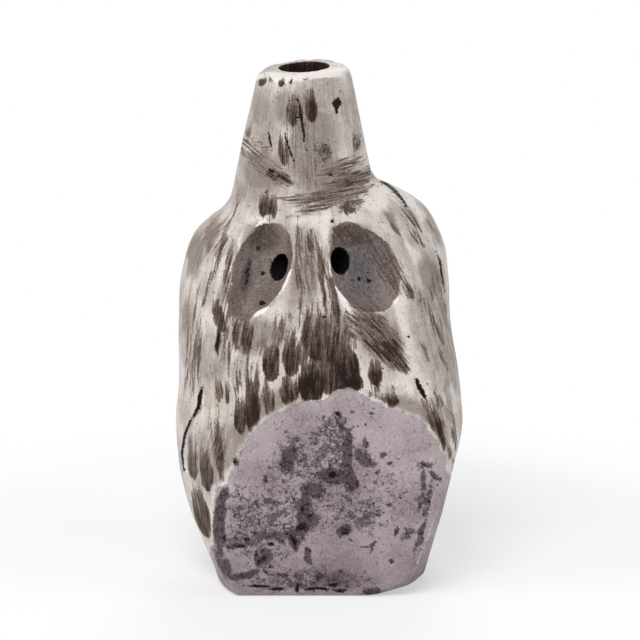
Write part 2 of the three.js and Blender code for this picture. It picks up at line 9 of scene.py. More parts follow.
# %% Load the frame
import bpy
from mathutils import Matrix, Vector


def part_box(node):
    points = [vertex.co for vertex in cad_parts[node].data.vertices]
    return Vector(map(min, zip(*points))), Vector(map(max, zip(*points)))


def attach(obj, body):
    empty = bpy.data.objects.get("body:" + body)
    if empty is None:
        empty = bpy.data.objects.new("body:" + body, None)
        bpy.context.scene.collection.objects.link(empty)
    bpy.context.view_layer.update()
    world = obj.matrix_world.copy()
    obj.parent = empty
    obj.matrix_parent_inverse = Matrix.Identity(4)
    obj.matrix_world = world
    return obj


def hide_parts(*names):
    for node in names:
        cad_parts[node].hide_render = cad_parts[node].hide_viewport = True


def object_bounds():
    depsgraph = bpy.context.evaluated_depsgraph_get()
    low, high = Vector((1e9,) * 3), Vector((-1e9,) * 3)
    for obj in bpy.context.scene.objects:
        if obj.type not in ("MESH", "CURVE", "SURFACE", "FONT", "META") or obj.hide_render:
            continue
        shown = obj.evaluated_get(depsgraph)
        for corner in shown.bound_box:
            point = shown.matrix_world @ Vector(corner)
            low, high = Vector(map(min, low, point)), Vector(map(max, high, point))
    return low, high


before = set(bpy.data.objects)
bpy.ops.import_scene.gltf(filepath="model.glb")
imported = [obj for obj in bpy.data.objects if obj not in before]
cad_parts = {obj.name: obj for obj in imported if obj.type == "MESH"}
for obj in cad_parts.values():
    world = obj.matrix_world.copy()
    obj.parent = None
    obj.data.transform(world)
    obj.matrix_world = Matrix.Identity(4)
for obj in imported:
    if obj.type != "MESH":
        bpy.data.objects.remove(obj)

import copy
import math

import bpy
import numpy as np
import openvdb
from mathutils import Euler, Vector

cad_box = [list(corner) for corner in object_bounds()]
print("CAD box in metres:", cad_box)


def put(name, data):
    """An object in the scene that shows this data."""
    made = bpy.data.objects.new(name, data)
    bpy.context.collection.objects.link(made)
    return made


def put_mesh(name, points, faces):
    """An object with a mesh of these points, in metres, and faces."""
    mesh = bpy.data.meshes.new(name)
    mesh.from_pydata(points, [], faces)
    mesh.update()
    return put(name, mesh)


# %% [markdown]
# ## The camera
# The photograph was taken from a little above, with a long lens, so the sides of the whistle
# stay nearly parallel. The camera stands 700 mm away. A place in the picture is later used to
# lay a mark on the clay, so the camera's numbers are kept as plain values.

# %% Set up the camera
MM = 0.001
PICTURE = 640
CAMERA_FAR = 700
CAMERA_RISE = math.radians(12)
PIXELS_PER_MM = 4.484
PICTURE_MIDDLE = (319.5, 311)
AIM_HEIGHT = 58
SENSOR = 36

# The spine is the upright line that every size is measured from. The air duct stands
# 3.4 mm left of it and 2 mm behind it.
NECK_LEFT, NECK_BACK = 3.4, 2
duct_low, duct_high = (np.array(corner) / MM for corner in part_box("air_duct"))
spine = (duct_low + duct_high) / 2 * (1, 1, 0) + (NECK_LEFT, NECK_BACK, 0)

aim = spine + (0, 0, AIM_HEIGHT)
eye = aim + CAMERA_FAR * np.array([0, -math.cos(CAMERA_RISE), math.sin(CAMERA_RISE)])
camera_data = bpy.data.cameras.new("photo_camera")
camera_data.sensor_width = SENSOR
camera_data.lens = PIXELS_PER_MM * CAMERA_FAR / PICTURE * SENSOR
camera_data.shift_x = (PICTURE / 2 - PICTURE_MIDDLE[0]) / PICTURE
camera_data.shift_y = (PICTURE_MIDDLE[1] - PICTURE / 2) / PICTURE
camera = put("photo_camera", camera_data)
camera.location = Vector(eye * MM)
camera.rotation_euler = Vector(aim - eye).to_track_quat("-Z", "Y").to_euler()
bpy.context.scene.camera = camera
print("lens:", round(camera_data.lens, 1), "mm")

# %% [markdown]
# ## Sizes
# These follow the modelled part, in millimetres, but for the rounding of the rim, the hollows
# and the tunnel, which are fitted more closely to the photograph. The body is drawn as a level
# section whose reach to the left, right, rear and face changes with height. Each table holds
# pairs of (share of the height, share of the reach). The two square tables say how square the
# rear corners of the section are, where 2 is an oval.


# %% A smooth line through pairs
def smooth_line(pairs):
    """A smooth line through pairs of (place, value) that never overshoots a pair."""
    at, value = np.array(pairs, dtype=float).T
    slope = np.diff(value) / np.diff(at)
    before, after = np.append(slope[0], slope), np.append(slope, slope[-1])
    product, total = before * after, before + after
    tangent = np.where(product > 0, 2 * product / np.where(total == 0, 1, total), 0)

    def line(x):
        i = np.clip(np.searchsorted(at, x, side="right") - 1, 0, len(at) - 2)
        width = at[i + 1] - at[i]
        t = np.clip((x - at[i]) / width, 0, 1)
        s = 1 - t
        return (
            value[i] * s * s * (1 + 2 * t)
            + tangent[i] * width * t * s * s
            + value[i + 1] * t * t * (1 + 2 * s)
            - tangent[i + 1] * width * t * t * s
        )

    return line


# %% Sizes of the body
BODY_HEIGHT = 88
LEFT_REACH, RIGHT_REACH, REAR_REACH, FACE_REACH = 32.5, 32.2, 35.5, 28.5
left_line = smooth_line([
    (0, 0.705), (0.06, 0.782), (0.11, 0.842), (0.16, 0.9), (0.27, 0.975), (0.375, 0.998),
    (0.505, 0.968), (0.71, 0.965), (0.8, 0.925), (0.85, 0.875), (0.892, 0.77), (0.919, 0.675),
    (0.944, 0.59), (0.975, 0.47), (1, 0.36),
])
right_line = smooth_line([
    (0, 0.73), (0.06, 0.76), (0.11, 0.79), (0.216, 0.87), (0.32, 0.935), (0.427, 0.985),
    (0.56, 0.945), (0.66, 0.907), (0.765, 0.89), (0.82, 0.875), (0.87, 0.826), (0.919, 0.75),
    (0.944, 0.67), (0.97, 0.55), (1, 0.4),
])
rear_line = smooth_line([
    (0, 0.94), (0.15, 0.99), (0.36, 1), (0.44, 0.975), (0.5, 0.942), (0.56, 0.925),
    (0.64, 0.865), (0.73, 0.8), (0.82, 0.715), (0.9, 0.61), (0.96, 0.525), (1, 0.45),
])
face_line = smooth_line([
    (0, 0.78), (0.07, 0.9), (0.16, 0.95), (0.3, 0.97), (0.42, 0.93), (0.52, 0.93),
    (0.62, 1), (0.74, 0.985), (0.83, 0.9), (0.9, 0.76), (0.96, 0.57), (1, 0.34),
])
square_left = smooth_line([(0, 3.2), (0.12, 2.5), (0.3, 2.25), (0.5, 2.25), (1, 2)])
square_right = smooth_line([(0, 4.4), (0.4, 4.8), (0.5, 4), (0.7, 2.9), (1, 2)])
FACE_SQUARE = 2.5
CAVITY_SQUARE = 2.4
SLIP = 0.3

# %% Sizes of the neck, the walls and the seam
NECK_LENGTH = 25.3
NECK_LAP = 12
RIM_RADIUS, NECK_FOOT_RADIUS = 10, 15.5
RIM_ROUND = 2.5
RIM_RISE_TO_FACE, RIM_RISE_TO_RIGHT = 0.07, 0.05
MOUTH_RADIUS, THROAT_RADIUS = 5.25, 4.6
RIM_Z = BODY_HEIGHT + NECK_LENGTH
DUCT_TOP = 97
DUCT_RADIUS = 7
SPIGOT_RADIUS = 10.1
SIDE_WALL, REAR_WALL, FACE_WALL, CROWN_WALL = 6, 6.5, 10.5, 8
CAVITY_TOP = BODY_HEIGHT - CROWN_WALL
seam_line = smooth_line([
    (-0.2, -0.38), (0.2, -0.4), (0.42, -0.42), (0.6, -0.42), (0.7, -0.36), (0.8, -0.33),
    (0.87, -0.24), (0.93, -0.1), (0.97, -0.06), (1.2, -0.06),
])
print("reach at half height:", round(float(LEFT_REACH * left_line(0.5)), 1), "mm to the left")

# %% [markdown]
# ## Clay as a distance
# Soft clay has no sharp joints, and meshes joined by hand show every join. So each form is
# written as a distance: a number that is negative inside the clay, positive outside it and
# zero on its skin. Two such numbers can then be joined or cut with a rounded edge, as a thumb
# or a knife leaves it. OpenVDB turns the finished numbers into one clean mesh.


# %% Joining and cutting
def meet(a, b, radius):
    """What lies inside both forms, with the edge between them rounded."""
    corner = np.hypot(np.maximum(a + radius, 0), np.maximum(b + radius, 0))
    return np.minimum(np.maximum(a, b), -radius) + corner


def join(a, b, radius):
    """Both forms together, with clay smoothed into the corner between them."""
    corner = np.hypot(np.maximum(radius - a, 0), np.maximum(radius - b, 0))
    return np.maximum(np.minimum(a, b), radius) - corner


def cut(form, tool, radius):
    """The form without the tool's space, with the edge of the cut rounded."""
    return meet(form, -tool, radius)


def smooth_step(x, low, high):
    t = np.clip((x - low) / (high - low), 0, 1)
    return t * t * (3 - 2 * t)


# %% Balls, rods and outlines
def ball(x, y, z, at, radii, turn=(0, 0, 0)):
    """A ball tool: its reach across, deep and tall, tilted by turns about X, then Y, then Z."""
    axes = np.array(Euler(turn, "XYZ").to_matrix()).T
    off = (x - at[0], y - at[1], z - at[2])
    local = [sum(a * o for a, o in zip(axis, off)) / r for axis, r in zip(axes, radii)]
    span = np.sqrt(sum(part**2 for part in local))
    pull = np.sqrt(sum((part / r) ** 2 for part, r in zip(local, radii)))
    return span * (span - 1) / np.maximum(pull, 1e-4)


def rod(x, y, z, start, end, radius):
    """A round rod between two points."""
    way = np.subtract(end, start)
    off = (x - start[0], y - start[1], z - start[2])
    t = np.clip(sum(w * o for w, o in zip(way, off)) / (way @ way), 0, 1)
    return np.sqrt(sum((o - t * w) ** 2 for w, o in zip(way, off))) - radius


def outline(x, z, corners):
    """The distance to a closed outline drawn on the face, negative inside it."""
    nearest, inside = np.inf, False
    for (ax, az), (bx, bz) in zip(corners, corners[1:] + corners[:1]):
        wx, wz = bx - ax, bz - az
        t = np.clip(((x - ax) * wx + (z - az) * wz) / (wx * wx + wz * wz), 0, 1)
        nearest = np.minimum(nearest, np.hypot(x - ax - t * wx, z - az - t * wz))
        rises = (az > z) != (bz > z)
        inside = inside ^ (rises & (x < ax + (z - az) * wx / (wz if wz else 1)))
    return np.where(inside, -nearest, nearest)


# %% The body's skin
def section(share):
    """The reach of the body's level section to the left, right, rear and face."""
    return (
        LEFT_REACH * left_line(share),
        RIGHT_REACH * right_line(share),
        REAR_REACH * rear_line(share),
        FACE_REACH * face_line(share),
    )


def level_form(x, y, across, along, square):
    """How far outside a squared oval a point lies, measured level."""
    ratio = (np.abs(x / across) ** square + np.abs(y / along) ** square) ** (1 / square)
    return (ratio - 1) * (np.hypot(x, y) + 0.01) / (ratio + 0.0003)


def skin(x, y, z):
    """How far outside the plain body a point lies, measured level."""
    share = z / BODY_HEIGHT
    left, right, rear, face = section(share)
    rear_square = np.where(x < 0, square_left(share), square_right(share))
    square = np.where(y < 0, rear_square, FACE_SQUARE)
    return level_form(x, y, np.where(x < 0, left, right), np.where(y < 0, rear, face), square)


def skin_y(x, z, side):
    """Where the skin lies at a place on the face side (+1) or the rear side (-1)."""
    share = z / BODY_HEIGHT
    left, right, rear, face = section(share)
    rear_square = (square_left if x < 0 else square_right)(share)
    square, along = (rear_square, rear) if side < 0 else (FACE_SQUARE, face)
    reach = left if x < 0 else right
    return side * along * (1 - min(1, abs(x / reach)) ** square) ** (1 / square)


print("the skin behind the spine at 40 mm up:", round(float(skin_y(0, 40, -1)), 1))

# %% [markdown]
# ## Knife facets, hollows and the cord tunnel
# A wire took off three flats while the clay was leather hard: the broad arched one low on the
# rear, a narrow one at its right, and the corner of the foot between them. Two hollows were
# gouged beside a ridge, and a tunnel for the cord runs from one to the other behind it.

# %% Flats
REAR_FLAT = dict(turn=0, lean=7, reach=27.3)
SIDE_FLAT = dict(turn=70, lean=26, reach=25.7)
FOOT_FLAT = dict(turn=45, lean=60, reach=27.6)


def beyond(x, y, z, turn, lean, reach):
    """How far beyond a flat a point lies."""
    turn, lean = math.radians(turn), math.radians(lean)
    way = (-math.sin(turn) * math.cos(lean), math.cos(turn) * math.cos(lean), math.sin(lean))
    at = (math.sin(turn) * reach, -math.cos(turn) * reach, 0)
    return -(way[0] * (x - at[0]) + way[1] * (y - at[1]) + way[2] * (z - at[2]))


# %% Hollows and the tunnel
RIDGE_X = -2
HOLLOW_Z = BODY_HEIGHT * 0.822
HOLLOW_LEAN = 20


def hollow_tool(side, radii, depth, spacing, rise, tilt, turn):
    """A ball tool that is pressed in beside the ridge, with its turns in degrees."""
    x, z = RIDGE_X + side * spacing, HOLLOW_Z + rise
    at = (x, skin_y(x, z, -1) - (radii[1] - depth), z)
    return at, radii, [math.radians(a) for a in (-HOLLOW_LEAN, -side * tilt, side * turn)]


hollow_tools = [
    hollow_tool(-1, (7.2, 8.5, 11.9), depth=4.6, spacing=11.6, rise=2.3, tilt=10, turn=16),
    hollow_tool(1, (8.6, 9, 11.2), depth=4.6, spacing=12.8, rise=2.1, tilt=15, turn=18),
    hollow_tool(-1, (5.5, 6, 7), depth=1.5, spacing=15.8, rise=-5, tilt=12, turn=20),
    hollow_tool(1, (4.6, 5, 4.4), depth=1.5, spacing=8.4, rise=7.8, tilt=20, turn=10),
]
TUNNEL_RADIUS, TUNNEL_LEFT_RADIUS = 2.65, 2.3
TUNNEL_SPACING, TUNNEL_DEPTH = 7.4, 7
TUNNEL_LEFT, TUNNEL_RIGHT = (-2.5, 0, 0.5), (0.4, 0, 0)
TUNNEL_Z = BODY_HEIGHT * 0.821
TUNNEL_RISE = 0.22 * TUNNEL_SPACING
TUNNEL_BEYOND = 12
tunnel_mouth_y = skin_y(RIDGE_X, TUNNEL_Z, -1) + TUNNEL_RADIUS
tunnel_end = np.array([RIDGE_X, tunnel_mouth_y + TUNNEL_DEPTH, TUNNEL_Z])


def tunnel_rod(side, shift, radius):
    """A branch of the tunnel, from where the branches meet out through the skin."""
    end = tunnel_end + shift
    way = np.array([side * TUNNEL_SPACING, tunnel_mouth_y - tunnel_end[1], side * TUNNEL_RISE])
    return end, end + way * (1 + TUNNEL_BEYOND / np.linalg.norm(way)), radius


# the third rod joins the shifted left branch to the place where the branches meet
tunnel_rods = [
    tunnel_rod(-1, TUNNEL_LEFT, TUNNEL_LEFT_RADIUS),
    tunnel_rod(1, TUNNEL_RIGHT, TUNNEL_RADIUS),
    (tunnel_end, tunnel_end + TUNNEL_LEFT, TUNNEL_RADIUS),
]
print("hollows at", [np.round(tool[0], 1).tolist() for tool in hollow_tools])

# %% [markdown]
# ## The face
# The photograph shows the whistle from behind, so the face is the plain skull that such
# whistles have: two round sockets, a nose opening, cheekbones, a heavy brow, and the jaw.
# Sockets and nose are pressed in with a ball tool. Cheeks and brows are pads of clay whose
# edges are smoothed into the head.


# %% Marks and pads of the face
def pressed(radii, spacing, share, depth, tilt=0):
    """A pair of ball-tool marks, mirrored about the middle of the face."""
    z = BODY_HEIGHT * share
    return [
        ((x, skin_y(x, z, 1) + radii[1] - depth, z), radii, (0, s * math.radians(tilt), 0))
        for s, x in ((-1, -spacing), (1, spacing))
    ]


def pads(radii, spacing, share, proud, tilt):
    """A pair of clay pads bedded square to the skin."""
    z, step, sunk = BODY_HEIGHT * share, radii[0] / 10, radii[1] - proud
    made = []
    for s in (-1, 1):
        x = s * spacing
        turn = math.atan((skin_y(x + step, z, 1) - skin_y(x - step, z, 1)) / (2 * step))
        at = (x + sunk * math.sin(turn), skin_y(x, z, 1) - sunk * math.cos(turn), z)
        made.append((at, radii, (0, s * math.radians(tilt), turn)))
    return made


sockets = pressed((9.6, 9, 9.4), spacing=12.6, share=0.6, depth=7.2)
nostrils = pressed((3.4, 6, 7.4), spacing=2.5, share=0.435, depth=4.6, tilt=-15)
cheeks = pads((13, 13, 8.5), spacing=21.2, share=0.455, proud=2.3, tilt=-14)
brows = pads((15.5, 15, 8.6), spacing=11.8, share=0.705, proud=2, tilt=12)


def temple(side):
    """A shallow hollow behind the brow."""
    share, forward, radii, depth = 0.66, 13, (9, 12, 13.5), 1.7
    left, right, _, face = section(share)
    narrowing = (1 - (forward / face) ** FACE_SQUARE) ** (1 / FACE_SQUARE)
    x = side * ((left if side < 0 else right) * narrowing + radii[0] - depth)
    return (x, forward, BODY_HEIGHT * share), radii, (0, 0, 0)


temples = [temple(-1), temple(1)]

# %% The jaw and the teeth
JAW_PROUD, JAW_SEAT = 1.8, 4.2
jaw_outer = [
    (-0.9, 0.4), (-0.86, 0.26), (-0.74, 0.11), (-0.5, 0.018),
    (0.5, 0.018), (0.74, 0.11), (0.86, 0.26), (0.9, 0.4),
]
jaw_inner = [(0.68, 0.4), (0.64, 0.27), (0.5, 0.165), (-0.5, 0.165), (-0.64, 0.27), (-0.68, 0.4)]
jaw_reach = (LEFT_REACH + RIGHT_REACH) / 2
jaw_corners = [(x * jaw_reach, z * BODY_HEIGHT) for x, z in jaw_outer + jaw_inner]

TOOTH_PROUD, TOOTH_SEAT = 1.5, 2.6
TEETH_SPAN, TOOTH_COUNT = 27, 8
LOWER_TOOTH_HEIGHT, UPPER_TOOTH_HEIGHT = 5.6, 7.5
lower_foot = BODY_HEIGHT * 0.183
lower_row = (lower_foot, LOWER_TOOTH_HEIGHT)
upper_row = (lower_foot + LOWER_TOOTH_HEIGHT + SLIP, UPPER_TOOTH_HEIGHT)


def bar(foot, height):
    """The outline of a row of teeth."""
    half = TEETH_SPAN / 2
    return [(-half, foot), (half, foot), (half, foot + height), (-half, foot + height)]


def seat(x, y, z, corners, depth):
    """The bed cut in the face for a piece that is luted on."""
    bed = np.maximum(outline(x, z, corners) - SLIP / 2, -(skin(x, y, z) + depth + SLIP / 2))
    return np.maximum(bed, -y)


# %% [markdown]
# ## The neck
# The mouthpiece is a cone pulled up from the crown. Its rim is thumbed round and slopes a
# little, and the mouth hole goes straight down into the air duct.


# %% The neck's form
def neck_away(x, y):
    return np.hypot(x + NECK_LEFT, y + NECK_BACK)


def neck_form(x, y, z):
    slant = (x + NECK_LEFT) * RIM_RISE_TO_RIGHT + (y + NECK_BACK) * RIM_RISE_TO_FACE
    height = z - slant * smooth_step(z, BODY_HEIGHT + NECK_LENGTH / 3, RIM_Z)
    taper = (NECK_FOOT_RADIUS - RIM_RADIUS) / NECK_LENGTH
    side = neck_away(x, y) - (RIM_RADIUS + taper * (RIM_Z - height))
    cone = meet(side * math.cos(math.atan(taper)), height - RIM_Z, RIM_ROUND)
    return np.maximum(cone, BODY_HEIGHT - NECK_LAP - z)


def mouth_form(x, y, z):
    """The mouth hole, down to the top of the air duct."""
    widening = smooth_step(z, DUCT_TOP, RIM_Z - NECK_LENGTH / 3)
    radius = THROAT_RADIUS + (MOUTH_RADIUS - THROAT_RADIUS) * widening
    return np.maximum(neck_away(x, y) - radius, DUCT_TOP - 1 - z)


# %% The whole whistle as one distance
CROWN_ROUND, PAD_ROUND, FLAT_ROUND, NECK_FILLET, FOOT_ROUND = 2, 2.5, 0.7, 3, 1.3
HOLLOW_ROUND, SOCKET_ROUND, TEMPLE_ROUND, JAW_BED_ROUND, CUT_ROUND = 0.45, 1, 4, 0.5, 0.4


def whistle_form(x, y, z):
    form = meet(skin(x, y, z), z - BODY_HEIGHT, CROWN_ROUND)
    for pad in cheeks + brows:
        form = join(form, ball(x, y, z, *pad), PAD_ROUND)
    for flat in (REAR_FLAT, SIDE_FLAT, FOOT_FLAT):
        form = meet(form, beyond(x, y, z, **flat), FLAT_ROUND)
    form = join(form, neck_form(x, y, z), NECK_FILLET)
    for tool in hollow_tools:
        form = cut(form, ball(x, y, z, *tool), HOLLOW_ROUND)
    for branch in tunnel_rods:
        form = cut(form, rod(x, y, z, *branch), CUT_ROUND)
    for tool in sockets + nostrils:
        form = cut(form, ball(x, y, z, *tool), SOCKET_ROUND)
    for tool in temples:
        form = cut(form, ball(x, y, z, *tool), TEMPLE_ROUND)
    form = cut(form, seat(x, y, z, jaw_corners, JAW_SEAT), JAW_BED_ROUND)
    for row in (upper_row, lower_row):
        form = cut(form, seat(x, y, z, bar(*row), TOOTH_SEAT), CUT_ROUND)
    form = cut(form, mouth_form(x, y, z), CUT_ROUND)
    return meet(form, -z, FOOT_ROUND)


# %% [markdown]
# ## From distance to mesh
# OpenVDB lays a fine grid of the distance and draws the skin where it passes zero. A coarse
# grid is enough for the tools that only cut: the bell cavity inside, and the two cutters that
# part the clay along its lap and its seam.


# %% Cast a form as a mesh
def cast(name, form, low, high, pitch):
    """A mesh object of a form's skin between two corners, on a grid of the given pitch."""
    axes = [np.arange(a - 2 * pitch, b + 3 * pitch, pitch) for a, b in zip(low, high)]
    x, y, z = (axis.astype(np.float32) for axis in np.meshgrid(*axes, indexing="ij", sparse=True))
    grid = openvdb.FloatGrid(3 * pitch)
    grid.copyFromArray(form(x, y, z).astype(np.float32))
    points, quads = grid.convertToQuads(0)
    points = points * pitch + [axis[0] for axis in axes] + spine
    piece = put_mesh(name, (points * MM).tolist(), quads.tolist())
    print(name, "has", len(quads), "faces")
    return piece


FINE_PITCH, QUICK_PITCH = 0.46, 0.8
fine = FINE_PITCH
whistle = cast("whistle", whistle_form, (-33, -33, 0), (33, 32, 115), fine)

# %% [markdown]
# ## Where a mark lies
# The marks of knife, brush and fire are laid where the photograph shows them. Each is written
# down by its place in the picture, in pixels, with its length, width and lean. The camera's
# numbers say where any point of the clay falls in the picture, so a mark lies on the clay
# itself and keeps its true shape from every side.


# %% Smooth random heights
def ripple(points, size, seed):
    """Smooth random heights from -1 to 1 that change over a distance of `size`."""
    lattice = np.random.default_rng(seed).uniform(-1, 1, (32, 32, 32))
    place = points / size
    cell = np.floor(place).astype(int)
    part = place - cell
    part = part * part * (3 - 2 * part)
    height = 0
    for corner in np.ndindex(2, 2, 2):
        weight = np.prod(np.where(corner, part, 1 - part), axis=1)
        height = height + weight * lattice[tuple(((cell + corner) % 32).T)]
    return height


# %% The picture place of a point
TOWARD_EYE = np.array([0, -math.cos(CAMERA_RISE), math.sin(CAMERA_RISE)])
PICTURE_UP = np.array([0, math.sin(CAMERA_RISE), math.cos(CAMERA_RISE)])
BEHIND_SPINE = 8


def vectors(holder, field):
    """The vectors that a mesh keeps in a field, one to a row."""
    kept = np.empty(len(holder) * 3, np.float32)
    holder.foreach_get(field, kept)
    return kept.reshape(-1, 3)


class Skin:
    """The points of a mesh in millimetres, the way each faces, and its place in the picture."""

    def __init__(self, mesh):
        self.points = vectors(mesh.vertices, "co").astype(float) / MM
        self.normals = vectors(mesh.vertices, "normal")
        # where each point was before the hand work moved it
        self.still = self.points
        if "still" in mesh.attributes:
            was = vectors(mesh.attributes["still"].data, "vector")
            known = np.abs(was).sum(axis=1, keepdims=True) > 0.1
            self.still = np.where(known, was, self.points)
        off = self.points - aim
        scale = PIXELS_PER_MM * CAMERA_FAR / (CAMERA_FAR - off @ TOWARD_EYE)
        self.across = PICTURE_MIDDLE[0] + scale * off[:, 0]
        self.down = PICTURE_MIDDLE[1] - scale * (off @ PICTURE_UP)
        self.x, self.y, self.z = self.place = (self.still - spine).T
        self.facing = self.normals @ TOWARD_EYE
        self.rear = smooth_step(BEHIND_SPINE - self.y, 0, 4)
        self.seen = smooth_step(self.facing, -0.02, 0.12) * self.rear
        self.faced = self.seen * smooth_step(self.facing, 0.05, 0.18)
        self.waver = 1.3 * ripple(self.points, 2.2, 31), 2 * ripple(self.points, 2.6, 32)


# %% The shapes of a mark
def local(clay, px, py, lean, waver=1):
    """Picture offsets across and up from a mark's middle, turned by its lean, with a waver."""
    lean = math.radians(lean)
    across, up = clay.across - px, py - clay.down
    side = across * math.cos(lean) - up * math.sin(lean)
    along = across * math.sin(lean) + up * math.cos(lean)
    return side + waver * clay.waver[0], along + waver * clay.waver[1]


def tongue(clay, px, py, long, wide, lean):
    """A brush mark: round at its lower tip and frayed at its top."""
    side, along = local(clay, px, py, lean)
    t = np.clip(2 * along / long, -1.2, 1.6)
    tip, top = np.sqrt(np.clip(1 - t**2, 0, 1)), np.clip(1 - 0.25 * t, 0, 1)
    body = smooth_step(wide / 2 * np.where(t < 0, tip, top) - np.abs(side), -1, 1.6)
    return body * np.where(t < 0, 1, np.clip(1 - 0.45 * t, 0, 1) * smooth_step(-t, -1.5, -0.9))


def oval(clay, px, py, long, wide, lean, soft=0.5, waver=2):
    """An oval patch whose edge fades over a share of its size."""
    side, along = local(clay, px, py, lean, waver)
    return smooth_step(1 - np.hypot(2 * side / wide, 2 * along / long), -soft / 2, soft)


def stroke_line(clay, places, width):
    """A line through picture places that runs out at both ends, as a share of its full depth."""
    share, count = 0, len(places) - 1
    for number, ((ax, ay), (bx, by)) in enumerate(zip(places, places[1:])):
        wx, wy = bx - ax, by - ay
        dx, dy = clay.across - ax, clay.down - ay
        t = np.clip((dx * wx + dy * wy) / (wx * wx + wy * wy), 0, 1)
        half = width * np.sqrt(1.02 - (2 * (number + t) / count - 1) ** 2)
        share = np.maximum(share, 1 - np.hypot(dx - t * wx, dy - t * wy) / half)
    return smooth_step(share, 0, 0.8)


# %% [markdown]
# ## The marks
# Long dark tongues hang where the brush ran out of wash, thin films of wash lie on the
# shoulders, hatched bands show a coarse rasp, and the low flat is stained by the fire.

# %% Dark marks on the washed clay
# Every mark in the tables below: picture place across and down, length, width, lean in degrees
# and strength. Tongues first, then patches where the wash is scuffed.
tongues = [
    (293, 112, 34, 12, 0, 0.8), (311, 106, 33, 13, -3, 0.9), (301, 112, 34, 5, -10, 0.8),
    (263, 80, 15, 8, 32, 0.8), (270, 78, 10, 4, -25, 0.7), (282, 82, 12, 8, 30, 0.85),
    (291, 81, 8, 4, 0, 0.8), (305, 79, 6, 9, 0, 0.6), (284, 152, 30, 13, -5, 0.7),
    (249, 133, 20, 6, 10, 0.5), (269, 208, 30, 21, 0, 0.8), (266, 199, 18, 9, 0, 0.8),
    (237, 203, 34, 5, 14, 0.6), (224, 238, 52, 7, 18, 0.6), (217, 262, 52, 6, 17, 0.55),
    (208, 288, 40, 6, 14, 0.5), (196, 305, 56, 5, 9, 0.5), (228, 262, 46, 7, 12, 0.55),
    (219, 316, 34, 12, -14, 0.8), (218, 338, 40, 5, 2, 0.98), (236, 330, 44, 10, 0, 0.62),
    (248, 332, 44, 13, 4, 0.72), (247, 368, 60, 4, -3, 0.62), (229, 352, 56, 4, 0, 0.55),
    (271, 363, 38, 19, 0, 0.86), (291, 357, 38, 20, 0, 0.88), (289, 391, 31, 20, 0, 0.93),
    (311, 382, 50, 27, 0, 1), (330, 386, 26, 18, -10, 0.72), (345, 362, 60, 26, -18, 0.95),
    (320, 338, 46, 40, 0, 0.82), (353, 380, 24, 20, -20, 1), (334, 352, 60, 30, -12, 0.8),
    (336, 376, 48, 34, -8, 0.86), (314, 350, 66, 32, 0, 0.6), (332, 338, 56, 50, -6, 0.6),
    (322, 275, 76, 7, -5, 0.7), (333, 296, 70, 9, -12, 0.74), (302, 300, 70, 5, 4, 0.56),
    (312, 322, 44, 20, 0, 0.5), (345, 302, 44, 6, -16, 0.66), (311, 240, 24, 9, 0, 0.66),
    (299, 252, 76, 9, 0, 0.52), (287, 328, 40, 6, 3, 0.6), (376, 374, 26, 15, 0, 0.86),
    (376, 391, 26, 14, -12, 0.58), (388, 402, 16, 25, 0, 0.9), (369, 399, 14, 12, 0, 0.66),
    (253, 408, 56, 17, 0, 1), (240, 416, 38, 12, 0, 0.88), (268, 397, 38, 15, -4, 0.7),
    (219, 391, 22, 10, 0, 0.58), (227, 391, 26, 7, 0, 0.62), (237, 378, 44, 8, 0, 0.5),
    (193, 458, 44, 11, -3, 0.66), (206, 470, 42, 14, -5, 0.78), (219, 452, 70, 10, -6, 0.68),
    (212, 436, 60, 4, -5, 0.58), (202, 514, 50, 16, -15, 0.78), (187, 350, 90, 5, 2, 0.5),
    (199, 350, 80, 5, 2, 0.5), (393, 222, 32, 10, -32, 0.4), (409, 215, 48, 8, -35, 0.5),
    (414, 234, 36, 8, -38, 0.5), (410, 290, 18, 7, -20, 0.85), (404, 288, 46, 14, -34, 0.45),
    (431, 318, 66, 8, -25, 0.55), (435, 424, 60, 15, -18, 0.85), (448, 448, 34, 7, -22, 0.6),
    (454, 422, 60, 6, -4, 0.5), (441, 352, 66, 6, -20, 0.55), (423, 344, 46, 5, -22, 0.5),
    (428, 222, 44, 5, -28, 0.45),
]
scuffs = [
    (300, 130, 120, 60, 0, 0.3), (310, 172, 60, 50, 0, 0.34), (312, 265, 90, 36, 0, 0.36),
    (235, 290, 96, 28, 10, 0.6), (225, 340, 70, 26, 0, 0.42), (280, 330, 40, 44, 0, 0.5),
    (215, 240, 70, 40, 20, 0.36), (193, 360, 110, 24, 2, 0.4), (350, 208, 12, 24, 0, 0.6),
    (440, 300, 110, 24, -14, 0.38), (440, 420, 110, 24, -10, 0.36), (252, 375, 60, 34, 0, 0.34),
    (262, 78, 18, 26, 40, 0.3), (395, 395, 30, 40, 0, 0.32), (215, 440, 90, 30, -4, 0.34),
    (298, 72, 8, 40, 0, 0.4), (244, 334, 40, 24, 0, 0.6), (262, 345, 40, 26, 0, 0.36),
    (225, 320, 60, 20, 0, 0.4),
]
